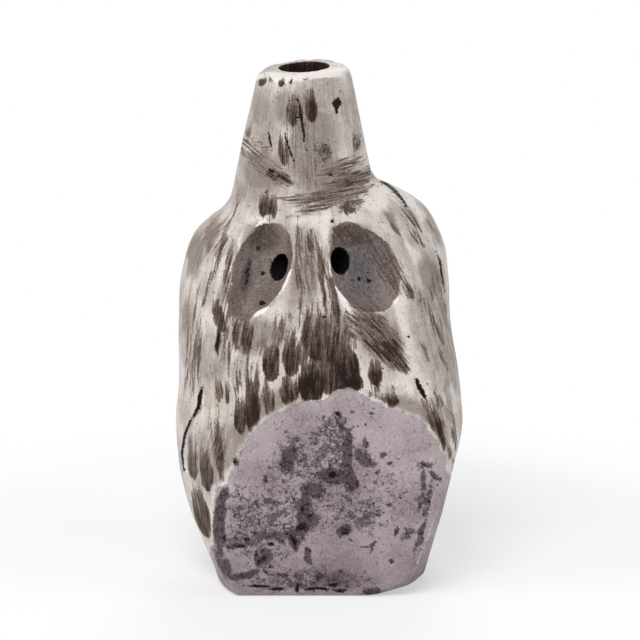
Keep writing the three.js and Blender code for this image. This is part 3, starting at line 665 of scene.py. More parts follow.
# thin grey films of wash without streaks, and painted shade in the hollows
films_and_hollow_shade = [
    (195, 257, 52, 20, 6, 0.9), (210, 236, 44, 17, 24, 0.85), (393, 222, 30, 11, -30, 0.7),
    (430, 274, 48, 24, -18, 0.9), (432, 228, 50, 14, -24, 0.6), (445, 335, 130, 20, -8, 0.6),
    (440, 440, 90, 24, -8, 0.6), (222, 292, 34, 14, 10, 0.6), (314, 150, 130, 66, 0, 0.8),
    (296, 110, 60, 60, 0, 0.7), (345, 182, 50, 60, 0, 0.6), (186, 320, 60, 10, 0, 0.6),
    (380, 355, 30, 30, -30, 0.35), (418, 410, 36, 24, 0, 0.4), (345, 130, 60, 24, 0, 0.3),
    (448, 390, 120, 10, -3, 0.6), (250, 335, 44, 64, 0, 0.75), (212, 355, 80, 36, 0, 0.55),
    (208, 460, 100, 50, 0, 0.55), (262, 172, 50, 50, 0, 0.9), (270, 295, 30, 30, 0, 0.4),
    (262, 130, 100, 34, 4, 0.52), (352, 125, 110, 26, -6, 0.45), (255, 425, 90, 34, 52, 0.8),
    (230, 455, 60, 26, 30, 0.7), (410, 410, 70, 34, -62, 0.75), (285, 402, 30, 40, 0, 0.6),
    (250, 190, 40, 40, 20, 0.5), (192, 340, 110, 26, 0, 0.5), (305, 265, 100, 44, 0, 0.7),
    (330, 330, 40, 66, 0, 0.8), (262, 238, 36, 40, 0, 0.9), (247, 278, 64, 12, 6, 0.9),
    (350, 236, 30, 46, -10, 1), (236, 300, 40, 18, 0, 0.7), (378, 338, 74, 46, -42, 0.95),
    (426, 335, 130, 40, -14, 0.55), (316, 130, 150, 50, 0, 0.6), (330, 190, 34, 100, -15, 0.6),
]
hatches = [
    (279, 177, 34, 13, -60, 0.8), (270, 170, 62, 24, -56, 0.46), (252, 152, 42, 22, -50, 0.46),
    (371, 328, 52, 36, -52, 0.7), (382, 341, 74, 32, -42, 0.95), (396, 360, 46, 16, -36, 0.85),
    (388, 265, 74, 26, -30, 0.5), (340, 236, 26, 18, -38, 0.75), (352, 205, 26, 11, 78, 0.5),
    (441, 215, 40, 10, -35, 0.3), (355, 145, 26, 10, 0, 0.4),
]
# the rings that the turned neck shows at its foot
ring_marks = [
    (343, 168, 54, 17, 67, 0.55), (345, 180, 80, 12, 68, 0.62), (336, 190, 96, 14, 70, 0.66),
    (334, 200, 104, 12, 71, 0.56), (302, 198, 60, 9, 88, 0.5), (262, 146, 36, 8, 118, 0.3),
]
print(len(tongues) + len(scuffs) + len(films_and_hollow_shade) + len(hatches), "marks on the washed clay")

# %% Stains, soot, cracks, and pale marks with painted highlights
stains = [
    (288, 460, 40, 18, 14, 0.95), (348, 458, 80, 13, -2, 0.9), (351, 482, 28, 15, 0, 1),
    (333, 474, 18, 40, 0, 0.95), (314, 490, 24, 30, 30, 0.85), (303, 515, 62, 17, 6, 0.95),
    (310, 520, 22, 26, 0, 0.85), (293, 538, 30, 12, -14, 1), (345, 532, 16, 18, -20, 0.9),
    (323, 152, 34, 22, 0, 0.44), (356, 144, 28, 13, 0, 0.46), (352, 206, 14, 28, 0, 0.5),
    (330, 440, 60, 58, 0, 0.5), (326, 460, 64, 90, 0, 0.44), (300, 495, 110, 110, 0, 0.35),
    (290, 458, 70, 40, 14, 0.44), (364, 458, 28, 16, -40, 0.8), (366, 443, 16, 5, 5, 0.95),
    (262, 526, 96, 90, 0, 0.4), (264, 560, 24, 22, -30, 0.8), (235, 545, 8, 20, -20, 0.8),
    (308, 556, 24, 9, -20, 0.8), (318, 579, 12, 12, 0, 0.8), (385, 495, 100, 80, 0, 0.26),
    (356, 512, 54, 76, 10, 0.42), (298, 515, 70, 50, 0, 0.42), (366, 522, 18, 40, 0, 0.5),
    (245, 512, 30, 34, 0, 0.5), (268, 536, 16, 60, 0, 0.6), (240, 540, 14, 40, 0, 0.6),
    (422, 490, 60, 8, 4, 0.62), (428, 500, 50, 8, 14, 0.66), (420, 536, 44, 8, 16, 0.72),
    (434, 475, 8, 18, 20, 0.75), (423, 464, 12, 20, 0, 0.6), (408, 534, 18, 14, 30, 0.6),
    (397, 530, 15, 5, 25, 0.95), (393, 562, 8, 7, 0, 0.9), (383, 454, 7, 8, 0, 0.8),
    (389, 463, 3, 9, 0, 0.95), (390, 507, 8, 7, 0, 0.7), (371, 414, 4, 8, 0, 0.95),
    (338, 415, 10, 5, -40, 1), (366, 425, 4, 5, 0, 0.9), (352, 414, 5, 7, 0, 0.7),
    (235, 463, 8, 7, 0, 1), (267, 480, 6, 5, 0, 0.95), (401, 494, 9, 4, 20, 0.85),
    (379, 470, 8, 5, 0, 0.8), (342, 509, 6, 6, 0, 0.9), (342, 427, 30, 5, -40, 0.8),
    (303, 447, 8, 14, -50, 0.6), (303, 402, 10, 6, 0, 0.4), (370, 545, 4, 24, -14, 0.8),
    (374, 547, 22, 3, 20, 0.75), (256, 503, 14, 5, 50, 0.85), (272, 505, 8, 10, 0, 0.8),
    (244, 575, 10, 40, -8, 0.98), (238, 505, 50, 30, 0, 0.36), (310, 580, 30, 150, 0, 0.5),
    (340, 575, 3, 22, 0, 0.8), (276, 572, 2.6, 36, 0, 0.8), (340, 572, 2, 80, 0, 0.5),
    (348, 583, 2.6, 36, -4, 0.75), (290, 584, 8, 16, 0, 0.8), (372, 592, 5, 26, 0, 1),
    (222, 502, 36, 13, 14, 0.98), (219, 530, 68, 14, 0, 0.98), (224, 566, 26, 14, -30, 0.9),
]
soots = [
    (337, 103, 13, 11, 0, 1), (337, 111, 9, 4, 0, 1), (260, 586, 4, 28, 0, 1),
    (277, 589, 4, 18, 0, 1), (297, 588, 14, 4, 0, 1), (318, 589, 4, 34, 0, 1),
    (333, 584, 5, 14, 0, 0.9), (340, 590, 5, 16, 0, 0.8), (333, 474, 9, 9, 0, 0.85),
    (248, 274, 36, 6, 6, 0.62), (262, 303, 6, 8, 0, 1), (258, 249, 6, 4, 0, 0.9),
    (263, 273, 7, 5, 0, 0.8), (359, 279, 5, 5, 0, 1), (369, 281, 5, 5, 0, 1),
    (367, 273, 3, 4, 0, 0.9), (271, 171, 5, 9, 30, 0.9), (281, 177, 4, 14, 30, 0.7),
    (331, 175, 4, 5, 0, 1), (266, 192, 4, 3, 0, 1), (333, 222, 5, 5, 30, 0.8),
    (324, 317, 4, 5, 0, 0.9), (247, 539, 5, 10, 0, 0.7), (241, 546, 5, 13, 0, 0.75),
    (257, 553, 16, 6, 20, 0.65), (262, 561, 8, 15, -30, 0.7), (271, 567, 6, 9, 0, 0.6),
    (303, 526, 8, 14, 0, 0.7), (309, 517, 7, 10, 0, 0.6), (302, 509, 6, 6, 0, 0.8),
    (307, 504, 4, 8, 0, 0.6), (346, 532, 9, 11, -20, 0.65), (350, 541, 4, 8, 30, 0.6),
    (318, 578, 10, 7, 0, 0.6), (286, 533, 6, 9, 0, 0.6), (276, 521, 5, 5, 0, 0.6),
    (337, 414, 6, 4, 0, 0.8), (268, 481, 4, 5, 0, 0.8), (234, 463, 5, 5, 0, 0.9),
    (348, 376, 44, 28, -12, 0.46), (225, 538, 14, 6, 0, 0.6), (229, 550, 10, 5, 0, 0.6),
    (271, 545, 5, 8, 0, 1), (301, 527, 8, 12, 0, 0.8), (294, 541, 12, 6, -20, 0.9),
    (355, 380, 18, 12, -20, 0.55), (310, 385, 30, 18, 0, 0.5), (218, 340, 26, 4, 2, 0.8),
    (409, 337, 3, 3, 0, 1), (297, 99, 4, 5, 0, 0.8), (289, 101, 3, 4, 0, 0.8),
    (297, 117, 3, 3, 0, 1),
]
blues = [(360, 275, 66, 40, -12, 1), (352, 297, 20, 26, -20, 0.7), (276, 280, 8, 16, 0, 0.8)]
# pale marks: thicker wash, with painted highlights on crests and the rim
thick_wash_and_highlights = [
    (262, 222, 10, 30, 0, 0.7), (375, 198, 34, 26, 0, 0.9), (237, 262, 60, 4, 8, 0.8),
    (313, 222, 16, 40, 0, 0.6), (325, 225, 40, 10, 0, 0.7), (332, 70, 12, 44, 0, 0.8),
    (410, 320, 60, 26, -20, 0.7), (415, 365, 60, 26, -20, 0.5), (418, 262, 60, 9, -30, 0.8),
    (345, 302, 44, 6, -24, 0.9), (372, 202, 26, 20, -30, 1), (418, 212, 50, 8, -34, 0.8),
]
# painted highlights on the lips of the hollows
hollow_lip_highlights = [
    (287, 280, 90, 22, 0, 0.55), (266, 314, 18, 34, 20, 1), (342, 284, 70, 26, -24, 0.75),
    (262, 224, 14, 30, 0, 0.4), (398, 300, 30, 16, 0, 0.4),
]
# lines: picture places, width in pixels and strength
# painted highlights: pale lines along edge crests and a band along the rim
highlight_lines = [
    ([(437, 508), (431, 528), (424, 546), (416, 566)], 2.4, 0.3),
    ([(239, 252), (239, 262), (236, 280), (232, 296)], 2.4, 0.38),
    ([(246, 78), (268, 76), (285, 78), (302, 76), (320, 74), (348, 68)], 9, 0.72),
    ([(300, 73), (322, 74), (342, 73)], 7, 0.9),
]
# lines: picture places, width in pixels and depth in millimetres
cracks = [
    ([(202, 386), (200, 396), (199, 406), (193, 418)], 4.2, 0.9),
    ([(197, 408), (191, 420), (185, 434), (182, 452), (184, 472)], 2.6, 0.6),
    ([(380, 181), (388, 185), (396, 192), (402, 199), (409, 209)], 3.2, 0.8),
    ([(435, 250), (440, 262), (442, 276), (445, 292)], 2, 0.4),
    ([(416, 379), (420, 388), (426, 399)], 4.6, 0.6),
    ([(298, 99), (302, 122), (306, 150)], 2.2, 0.12),
    ([(284, 131), (289, 148), (294, 162)], 2, 0.12),
    ([(268, 130), (270, 140), (272, 150)], 1.8, 0.08),
]
# the outline of the stained flat in the picture
flat_edge = [
    (214, 488), (226, 483), (231, 468), (245, 441), (262, 421), (285, 408), (300, 401), (322, 400),
    (335, 391), (347, 388), (357, 391), (368, 399), (380, 404), (400, 410), (420, 420), (432, 432),
    (442, 449), (448, 472), (460, 490), (460, 605), (205, 605), (206, 562), (213, 540),
]
print(len(stains) + len(soots) + len(cracks), "stains, soot marks and cracks")

# %% [markdown]
# ## What each point of the clay carries
# Every point of a mesh gets a few plain numbers: how bare of wash it is, how much of it lies on
# the stained flat, how sooty it is, with painted shade in holes, cracks and hollows, where a
# painted highlight lies, and the way the grain of the brush runs past it. The material reads
# these and adds all that is finer than the mesh.


# %% Where the marks fall
GRAIN_RADIUS, RING_RADIUS, FACE_RADIUS = 22, 15, 30


def strongest(clay, shape, marks, **manner):
    """The strongest of several marks at each point. The last number of a mark is its strength."""
    total = np.zeros(len(clay.x))
    for *place, strength in marks:
        total = np.maximum(total, strength * shape(clay, *place, **manner))
    return total * clay.seen


def brush_grain(clay):
    """A place along and across the brush strokes, which fan out from the neck."""
    x, y, z = clay.place
    turn = np.arctan2(x + NECK_LEFT, -(y + NECK_BACK)) + 0.06 * ripple(clay.points, 13, 5)
    fall = RIM_Z - z + 0.6 * neck_away(x, y)
    round_body = GRAIN_RADIUS * np.sin(turn), GRAIN_RADIUS * np.cos(turn)
    return np.stack([*round_body, fall], axis=1), turn, fall


def hatch_grain(clay, turn, fall):
    """How strongly each point is hatched, and its place across and along the hatching."""
    strength = np.zeros(len(turn))
    grain = np.zeros((len(turn), 3))
    level = fall + 0.1 * clay.x
    rings = np.stack([level, RING_RADIUS * turn, np.full(len(turn), 3.0)], axis=1)
    for number, (px, py, long, wide, lean, dark) in enumerate(hatches + ring_marks):
        here = dark * oval(clay, px, py, long, wide, lean) * clay.seen
        band = np.full(len(turn), 20.0 * number)
        straight = np.stack([*local(clay, px, py, lean, waver=0), band], axis=1) / PIXELS_PER_MM
        stronger = here > strength
        grain[stronger] = (rings if number >= len(hatches) else straight)[stronger]
        strength = np.maximum(strength, here)
    return strength, grain


# %% Marks on the side that the photograph hides
HIDDEN_GROUPS = 64
draw = np.random.default_rng(11)
hidden_tongues, hidden_scuffs = [], []
for _ in range(HIDDEN_GROUPS):
    across, down = draw.uniform(-300, 300), draw.uniform(20, 480)
    long, wide, dark = draw.uniform(50, 120), draw.uniform(20, 50), draw.uniform(0.25, 0.5)
    hidden_scuffs.append((across, down, long, wide, 0, dark))
    for _ in range(draw.integers(2, 7)):
        wide, dark = draw.uniform(4, 17), draw.uniform(0.45, 0.92)
        shift, long, lean = draw.uniform(-16, 16), draw.uniform(26, 70), draw.uniform(-5, 5)
        hidden_tongues.append((across, down + shift, long, wide, lean, dark))
        across += wide * draw.uniform(0.8, 1.4)


def hidden_side(clay, turn):
    """The same points laid out round the face, for marks that are placed by angle and height."""
    laid = copy.copy(clay)
    behind = np.where(turn > 0, turn - math.pi, turn + math.pi)
    laid.across = behind * FACE_RADIUS * PIXELS_PER_MM
    laid.down = (RIM_Z - clay.z) * PIXELS_PER_MM
    laid.seen = 1 - smooth_step(clay.facing, -0.05, 0.2) * clay.rear
    return laid


# %% All that a point carries
FLAT_TOP_ACROSS = 335


def pressed_in(clay, tools, reach=0.6):
    """How surely a point lies in the bed of one of these ball tools, and how near it is to one."""
    x, y, z = clay.place
    nearest = np.minimum.reduce([ball(x, y, z, *tool) for tool in tools])
    torn = 0.42 * ripple(clay.points, 2.6, 41) + 0.28 * ripple(clay.points, 0.9, 42)
    near = 1 - smooth_step(nearest, 0.1, reach)
    return near * smooth_step(torn - skin(x, y, z), 0.1, 0.5), near


def on_flat(clay, flat):
    """How surely a point lies on one of the flats."""
    off = np.abs(beyond(clay.x, clay.y, clay.z, **flat))
    return 1 - smooth_step(off, 0.12, 0.4)


def carried(clay):
    """The numbers that the material reads at each point, by name."""
    x, y, z = clay.place
    grain, turn, fall = brush_grain(clay)
    hatched, hatch = hatch_grain(clay, turn, fall)
    laid = hidden_side(clay, turn)

    # the stained flat, whose edge is sharp at its top and soft at its sides
    place = (clay.across, clay.down)
    edge = outline(*(part + 0.8 * wave for part, wave in zip(place, clay.waver)), flat_edge)
    soft = 1.5 + 5 * smooth_step(np.abs(clay.across - FLAT_TOP_ACROSS), 20, 50)
    flat = (1 - smooth_step(edge / soft, -1, 1)) * clay.seen
    side_flat = np.maximum(on_flat(clay, SIDE_FLAT), on_flat(clay, FOOT_FLAT)) * (y < 0)

    # what is gouged, pressed or bored
    inside = 1 - smooth_step(whistle_form(x, y, z), -1.4, -0.8)
    hollow, near_hollow = pressed_in(clay, hollow_tools, reach=1.1)
    sunk = -skin(x, y, z) + 0.9 * ripple(clay.points, 3, 43)
    face_pits = pressed_in(clay, sockets + nostrils)[0] * smooth_step(sunk, 1, 2.6)
    tunnel = np.minimum.reduce([rod(x, y, z, *branch) for branch in tunnel_rods])
    in_bore = 1 - smooth_step(neck_away(x, y), MOUTH_RADIUS, MOUTH_RADIUS + 0.5)
    mouth = in_bore * (z > BODY_HEIGHT)

    # thick wash with painted highlights, a paler band inside the flat's edge, and where wash is
    # gone
    pale = np.maximum(strongest(clay, oval, thick_wash_and_highlights), flat * smooth_step(edge, -18, 2))
    bare = np.maximum.reduce([
        0.08 + 0.1 * ripple(clay.points, 9, 3),
        strongest(clay, tongue, tongues),
        strongest(clay, oval, scuffs, soft=0.8),
        strongest(laid, tongue, hidden_tongues),
        strongest(laid, oval, hidden_scuffs, soft=0.8),
    ])
    bare = np.maximum(bare * (1 - 0.9 * pale), hatched) * (1 - np.maximum(flat, side_flat))

    dots = strongest(clay, oval, soots, waver=0.7)
    # soot marks, and painted shade: near black inside the cord tunnel, darker down the mouth hole
    soot = np.maximum.reduce([dots, 1 - smooth_step(tunnel, 0.1, 0.3), 0.4 * mouth])
    # painted shade: the cracks darkened along their lines
    crack = clay.faced * np.maximum.reduce([stroke_line(clay, *line[:2]) for line in cracks])
    # painted highlights along the crests and the rim, and on the lips of the hollows
    highlighted = [line[2] * stroke_line(clay, *line[:2]) for line in highlight_lines]
    crest = clay.seen * np.maximum.reduce(highlighted)
    crest = np.maximum(crest, 1.7 * near_hollow * strongest(clay, oval, hollow_lip_highlights, soft=0.9))
    film = strongest(clay, oval, films_and_hollow_shade, soft=0.6) * (1 - flat)
    film = np.maximum.reduce([
        # painted shade: the stained flat darker toward its bottom
        film + 0.6 * flat * smooth_step(clay.down, 480, 600),
        # painted shade: sockets and nose darker the deeper they go
        face_pits * smooth_step(sunk, 2, 7),
        0.7 * side_flat,
        0.55 * laid.seen * ripple(clay.points, 15, 51),
    ])
    return dict(
        bare=np.maximum.reduce([bare, face_pits, inside, mouth]),
        hatched=smooth_step(hatched, 0.05, 0.2),
        hatch=hatch,
        grain=grain,
        flat=np.maximum(flat, 0.8 * side_flat),
        hollow=np.maximum(hollow, face_pits),
        pale=pale,
        stain=strongest(clay, oval, stains, soft=0.6),
        film=film,
        blue=strongest(clay, oval, blues, soft=0.9) * hollow,
        soot=np.maximum(soot, crack),
        crest=crest * (1 - np.maximum(hollow, mouth)),
    )


# %% [markdown]
# ## Hand work in the surface
# The knife and the thumb left long soft facets, small pits and cracks. They move the points of
# the mesh, so the outline shows them too. Nearly every movement is inwards, by up to a
# millimetre, and no point may leave the measured box.


# %% Press the hand work into the clay
REAR_FLAT_TOP, PITS_FROM = 46, 12


def worked(clay):
    """How far each point moves along its normal, in millimetres."""
    x, y, z = clay.place
    grain, _, _ = brush_grain(clay)
    flats = np.maximum(on_flat(clay, REAR_FLAT) * (z < REAR_FLAT_TOP), on_flat(clay, SIDE_FLAT))
    by_hand = 0.17 * ripple(clay.points, 11, 21) + 0.06 * ripple(clay.points, 4, 22) - 0.2
    scraped = 0.05 * ripple(grain * (0.9, 0.9, 0.09), 1, 23)
    move = (by_hand + scraped) * (1 - 0.85 * flats)
    chips = 0.5 * np.clip(ripple(clay.points, 2, 24), 0, 1)
    rim = smooth_step(z, RIM_Z - 3, RIM_Z - 1) * smooth_step(neck_away(x, y), 6, 7.5)
    move -= chips * rim
    for places, width, depth in cracks:
        move -= depth * stroke_line(clay, places, width) * clay.faced
    move -= 0.3 * strongest(clay, oval, soots, soft=0.6) * (z > PITS_FROM)
    outside = smooth_step(whistle_form(x, y, z), -1, -0.5)
    return move * outside * smooth_step(z, 0.2, 2.5)


box_low, box_high = np.array(cad_box[0]), np.array(cad_box[1])


def reshape(piece):
    """Move the points of a piece by the hand work, within the measured box."""
    clay = Skin(piece.data)
    still = piece.data.attributes.new("still", "FLOAT_VECTOR", "POINT")
    still.data.foreach_set("vector", clay.points.astype(np.float32).ravel())
    moved = clay.points + clay.normals * worked(clay)[:, None]
    moved = np.clip(moved * MM, box_low, box_high)
    piece.data.vertices.foreach_set("co", moved.astype(np.float32).ravel())
    piece.data.update()


reshape(whistle)
print("the whistle reaches", round(max(v.co.z for v in whistle.data.vertices) / MM, 1), "mm up")

# %% [markdown]
# ## Parting the clay into its pieces
# The real whistle was pressed in two halves with the mouthpiece set on top. The clay is parted
# along the same lap and seam, after the skin is finished, so both sides of a joint meet on
# exactly the same line and the joint doesn't show.


# %% Tools that part the clay
def core_form(x, y, z):
    """The bell cavity and the socket of the air duct."""
    left, right, rear, face = section(z / BODY_HEIGHT)
    flat = REAR_FLAT["reach"] + z * math.tan(math.radians(REAR_FLAT["lean"]))
    under_flat = np.minimum(rear, flat) - REAR_WALL
    behind_tunnel = -(tunnel_end[1] + TUNNEL_RADIUS + SLIP)
    near = smooth_step(z, TUNNEL_Z - 6 * TUNNEL_RADIUS, TUNNEL_Z - 2 * TUNNEL_RADIUS)
    rear = under_flat + (np.minimum(under_flat, behind_tunnel) - under_flat) * near
    across = np.where(x < 0, left - SIDE_WALL, right - SIDE_WALL)
    cavity = level_form(x, y, across, np.where(y < 0, rear, face - FACE_WALL), CAVITY_SQUARE)
    socket = np.maximum(neck_away(x, y) - DUCT_RADIUS - SLIP, z - DUCT_TOP - SLIP)
    return np.maximum(np.minimum(np.maximum(cavity, z - CAVITY_TOP), socket), -3 - z)


LAP_OUT = 1.2
TOOL_REACH = 42


def neck_tool_form(x, y, z):
    """All that belongs to the mouthpiece: outside the body, or in the spigot."""
    body = np.maximum(skin(x, y, z), z - BODY_HEIGHT)
    lap = np.maximum(LAP_OUT - body, BODY_HEIGHT - NECK_LAP - z)
    spigot = np.maximum(neck_away(x, y) - SPIGOT_RADIUS, CAVITY_TOP - 1 - z)
    ends = np.maximum(np.maximum(np.abs(x), np.abs(y)) - TOOL_REACH, z - RIM_Z - 5)
    return np.maximum(np.minimum(lap, spigot), ends)


def seam_tool():
    """A block of all that lies behind the seam."""
    heights = np.linspace(-3, RIM_Z + 6, 40)
    line = [(float(REAR_REACH * seam_line(z / BODY_HEIGHT)), float(z)) for z in heights]
    side = line + [(-TOOL_REACH, line[-1][1]), (-TOOL_REACH, line[0][1])]
    count = len(side)
    corners = [(x + spine[0], y + spine[1], z) for x in (-TOOL_REACH, TOOL_REACH) for y, z in side]
    faces = [[i, (i + 1) % count, (i + 1) % count + count, i + count] for i in range(count)]
    faces += [list(range(count - 1, -1, -1)), list(range(count, 2 * count))]
    return put_mesh("seam_tool", (np.array(corners) * MM).tolist(), faces)


def trim(piece, tool, how):
    """Keep what a piece shares with a tool (INTERSECT) or what lies outside it (DIFFERENCE)."""
    carve = piece.modifiers.new("carve", "BOOLEAN")
    carve.solver, carve.operation, carve.object = "MANIFOLD", how, tool
    evaluated = piece.evaluated_get(bpy.context.evaluated_depsgraph_get())
    carved = bpy.data.meshes.new_from_object(evaluated)
    piece.modifiers.clear()
    piece.data = carved


def like(piece, name):
    """A copy of a piece with its own mesh."""
    made = put(name, piece.data.copy())
    made.data.name = name
    return made


# %% Part the clay
core = cast("core_tool", core_form, (-33, -33, -4), (33, 32, 99), 1.2)
neck_tool = cast("neck_tool", neck_tool_form, (-43, -43, 75), (43, 43, 119), 0.8)
seam = seam_tool()
trim(whistle, core, "DIFFERENCE")
shells = [like(whistle, name) for name in ("neck_skin", "rear_skin", "face_skin")]
neck_skin, rear_skin, face_skin = shells
trim(neck_skin, neck_tool, "INTERSECT")
for shell, how in ((rear_skin, "INTERSECT"), (face_skin, "DIFFERENCE")):
    trim(shell, neck_tool, "DIFFERENCE")
    trim(shell, seam, how)
for tool in (whistle, core, neck_tool, seam):
    bpy.data.objects.remove(tool)
for piece in shells:
    print(piece.name, len(piece.data.polygons), "faces")

# %% [markdown]
# ## Jaw and teeth
# The jaw is a band of clay laid over the chin, and each row of teeth is a small bar with its
# teeth cut by a knife. They are separate pieces, luted into shallow beds, so each is cast by
# itself and stands a little proud of the face.


# %% The jaw
JAW_ROUND, JAW_PITCH, TEETH_PITCH = 1.3, 0.45, 0.3


def jaw_form(x, y, z):
    off = skin(x, y, z)
    form = meet(outline(x, z, jaw_corners), off - JAW_PROUD, JAW_ROUND)
    form = np.maximum(np.maximum(form, -(off + JAW_SEAT)), -y)
    return cut(form, seat(x, y, z, bar(*lower_row), TOOTH_SEAT), CUT_ROUND)


jaw = cast("jaw", jaw_form, (-31, 0, 0), (31, 32, 37), max(fine, JAW_PITCH))


# %% The teeth
def teeth_form(foot, height):
    """A row of rounded teeth on a thin backing."""
    pitch = TEETH_SPAN / TOOTH_COUNT
    last = (TEETH_SPAN - pitch) / 2

    def form(x, y, z):
        off = skin(x, y, z)
        middle = np.clip((np.floor(x / pitch) + 0.5) * pitch, -last, last)
        uneven = np.cos(7 * middle + foot)
        side = np.abs(x - middle) - pitch / 2 + 0.2
        tall = np.abs(z - foot - height / 2) - height / 2 + 0.15 + 0.15 * uneven
        front = off - TOOTH_PROUD + 0.14 * (x - middle) ** 2 + 0.2 + 0.2 * uneven
        crown = meet(meet(side, tall, 1.5), front, 0.8)
        backing = np.maximum(outline(x, z, bar(foot, height)), off + 0.1)
        return np.maximum(np.minimum(crown, backing), -(off + TOOTH_SEAT))

    return form


teeth = [
    cast("teeth_upper", teeth_form(*upper_row), (-15, 20, 20), (15, 32, 31), TEETH_PITCH),
    cast("teeth_lower", teeth_form(*lower_row), (-15, 20, 14), (15, 32, 23), TEETH_PITCH),
]
for piece in [jaw, *teeth]:
    reshape(piece)
    print(piece.name, [round(side / MM, 1) for side in piece.dimensions])

# %% Keep what each point carries
SHARP = math.radians(38)


def dress(piece):
    """Store what each point carries on the mesh, where the material reads it."""
    mesh = piece.data
    mesh.shade_smooth()
    mesh.set_sharp_from_angle(angle=SHARP)
    clay = Skin(mesh)
    values_by_name = carried(clay)
    if piece in teeth:
        off = skin(clay.x, clay.y, clay.z)
        # painted shade: teeth darker where they sit close to the face
        values_by_name = dict(soot=1 - smooth_step(off, 0.2, 1.1))
    for name, values in values_by_name.items():
        kind, field = ("FLOAT", "value") if values.ndim == 1 else ("FLOAT_VECTOR", "vector")
        kept = mesh.attributes.new(name, kind, "POINT")
        kept.data.foreach_set(field, values.astype(np.float32).ravel())
    mesh.attributes.remove(mesh.attributes["still"])


skins = [*shells, jaw, *teeth]
for piece in skins:
    dress(piece)
names = [kept.name for kept in rear_skin.data.attributes if not kept.name.startswith(".")]
print("what a point carries:", ", ".join(names))

# %% [markdown]
# ## Materials
# A small class wraps one value of a material, so that shader sums can be written as plain
# arithmetic. The finish itself is built the way the real surface came about: dark fired clay,
# pale wash brushed over it, then scuffs, stains and soot. Painted shade darkens the hollows, the
# holes and the cracks, and painted highlights lighten the rim, crests and lips.


# %% A value in a material
class Wire:
    """One value in a material. Arithmetic on it adds the Math nodes."""

    def __init__(self, finish, socket):
        self.finish, self.socket = finish, socket

    def math(self, operation, *values):
        return self.finish.node("ShaderNodeMath", {"operation": operation}, dict(enumerate(values)))

    def __add__(self, other):
        return self.math("ADD", self, other)

    def __sub__(self, other):
        return self.math("SUBTRACT", self, other)

    def __rsub__(self, other):
        return self.math("SUBTRACT", other, self)

    def __mul__(self, other):
        return self.math("MULTIPLY", self, other)

    __radd__, __rmul__ = __add__, __mul__

    def most(self, other):
        return self.math("MAXIMUM", self, other)

    def step(self, low, high):
        """0 below the low edge, 1 above the high edge and smooth between them."""
        edges = {"Value": self, "From Min": low, "From Max": high}
        return self.finish.node("ShaderNodeMapRange", {"interpolation_type": "SMOOTHSTEP"}, edges)


class Finish:
    """A material and the few ways in which this file adds nodes to it."""

    def __init__(self, name):
        self.material = bpy.data.materials.new(name)
        self.material.use_nodes = True
        self.tree = self.material.node_tree
        self.tree.nodes.clear()

    def node(self, kind, settings=None, sockets=None, output=0):
        made = self.tree.nodes.new(kind)
        for key, value in (settings or {}).items():
            setattr(made, key, value)
        for key, value in (sockets or {}).items():
            if isinstance(value, Wire):
                self.tree.links.new(value.socket, made.inputs[key])
            else:
                made.inputs[key].default_value = value
        return Wire(self, made.outputs[output]) if len(made.outputs) else None

    def carried(self, name, output="Fac"):
        return self.node("ShaderNodeAttribute", {"attribute_name": name}, output=output)

    def stretched(self, vector, across, along, other=None):
        """A vector with its parts scaled."""
        factors = (across, across if other is None else other, along)
        return self.node("ShaderNodeVectorMath", {"operation": "MULTIPLY"}, {0: vector, 1: factors})

    def noise(self, vector, size, detail=4, roughness=0.55):
        sockets = {"Vector": vector, "Scale": 1 / size, "Detail": detail, "Roughness": roughness}
        return self.node("ShaderNodeTexNoise", {}, sockets)

    def mix(self, share, under, over):
        """One colour laid over another. Each is a wire, or red, green and blue up to 255."""
        under, over = (c if isinstance(c, Wire) else paint(*c) for c in (under, over))
        sockets = {0: share, 6: under, 7: over}
        return self.node("ShaderNodeMix", {"data_type": "RGBA"}, sockets, output=2)

    def coats(self, colour, *coats):
        """A colour under coats, each given as its share and its colour."""
        for share, over in coats:
            colour = self.mix(share, colour, over)
        return colour

    def done(self, colour, roughness, height, depth, **constants):
        """Ends the material: a surface with a bump of the given depth in metres."""
        normal = self.node("ShaderNodeBump", {}, {"Height": height, "Distance": depth})
        sockets = {"Base Color": colour, "Roughness": roughness, "Normal": normal, **constants}
        surface = self.node("ShaderNodeBsdfPrincipled", {}, sockets)
        self.node("ShaderNodeOutputMaterial", {}, {"Surface": surface})
        return self.material


def paint(red, green, blue):
    """A colour as a screen shows it, turned into the light values that shaders use."""
    shares = (value / 255 for value in (red, green, blue))
    return (*(s / 12.92 if s <= 0.04045 else ((s + 0.055) / 1.055) ** 2.4 for s in shares), 1)


def clay_place(finish):
    """The place on the object in millimetres."""
    place = finish.node("ShaderNodeTexCoord", output="Object")
    return finish.stretched(place, 1 / MM, 1 / MM)


# %% [markdown]
# ## Washed clay
# The wash is thin and was brushed on, so it breaks up in streaks along the brush. Streaks come
# from noise that is pulled out along the grain. A point's bareness is added to that noise and
# the sum is cut at a level: where little is bare only hairlines show, and where much is bare
# only hairlines of wash are left.

# %% Streaks of the brush
washed = Finish("limewashed_clay")
place = clay_place(washed)
grain, hatch = washed.carried("grain", "Vector"), washed.carried("hatch", "Vector")
broad_streaks = washed.noise(washed.stretched(grain, 0.9, 0.1), 1, 4, 0.6)
fine_streaks = washed.noise(washed.stretched(grain, 2.6, 0.2), 1, 5, 0.65)
grit = washed.noise(place, 0.4, 3, 0.6)
brushed = (0.35 * broad_streaks + 0.5 * fine_streaks + 0.15 * grit).step(0.36, 0.64)
hatching = washed.noise(washed.stretched(hatch, 2.8, 1, 0.14), 1, 4, 0.62)
rasped = (0.8 * hatching + 0.2 * grit).step(0.38, 0.62)
hatched = washed.carried("hatched")
streaks = brushed + hatched * (rasped - brushed)
bareness = washed.carried("bare")
bare = (1.3 * bareness + 0.75 * streaks - 0.375).step(0.36, 0.7)

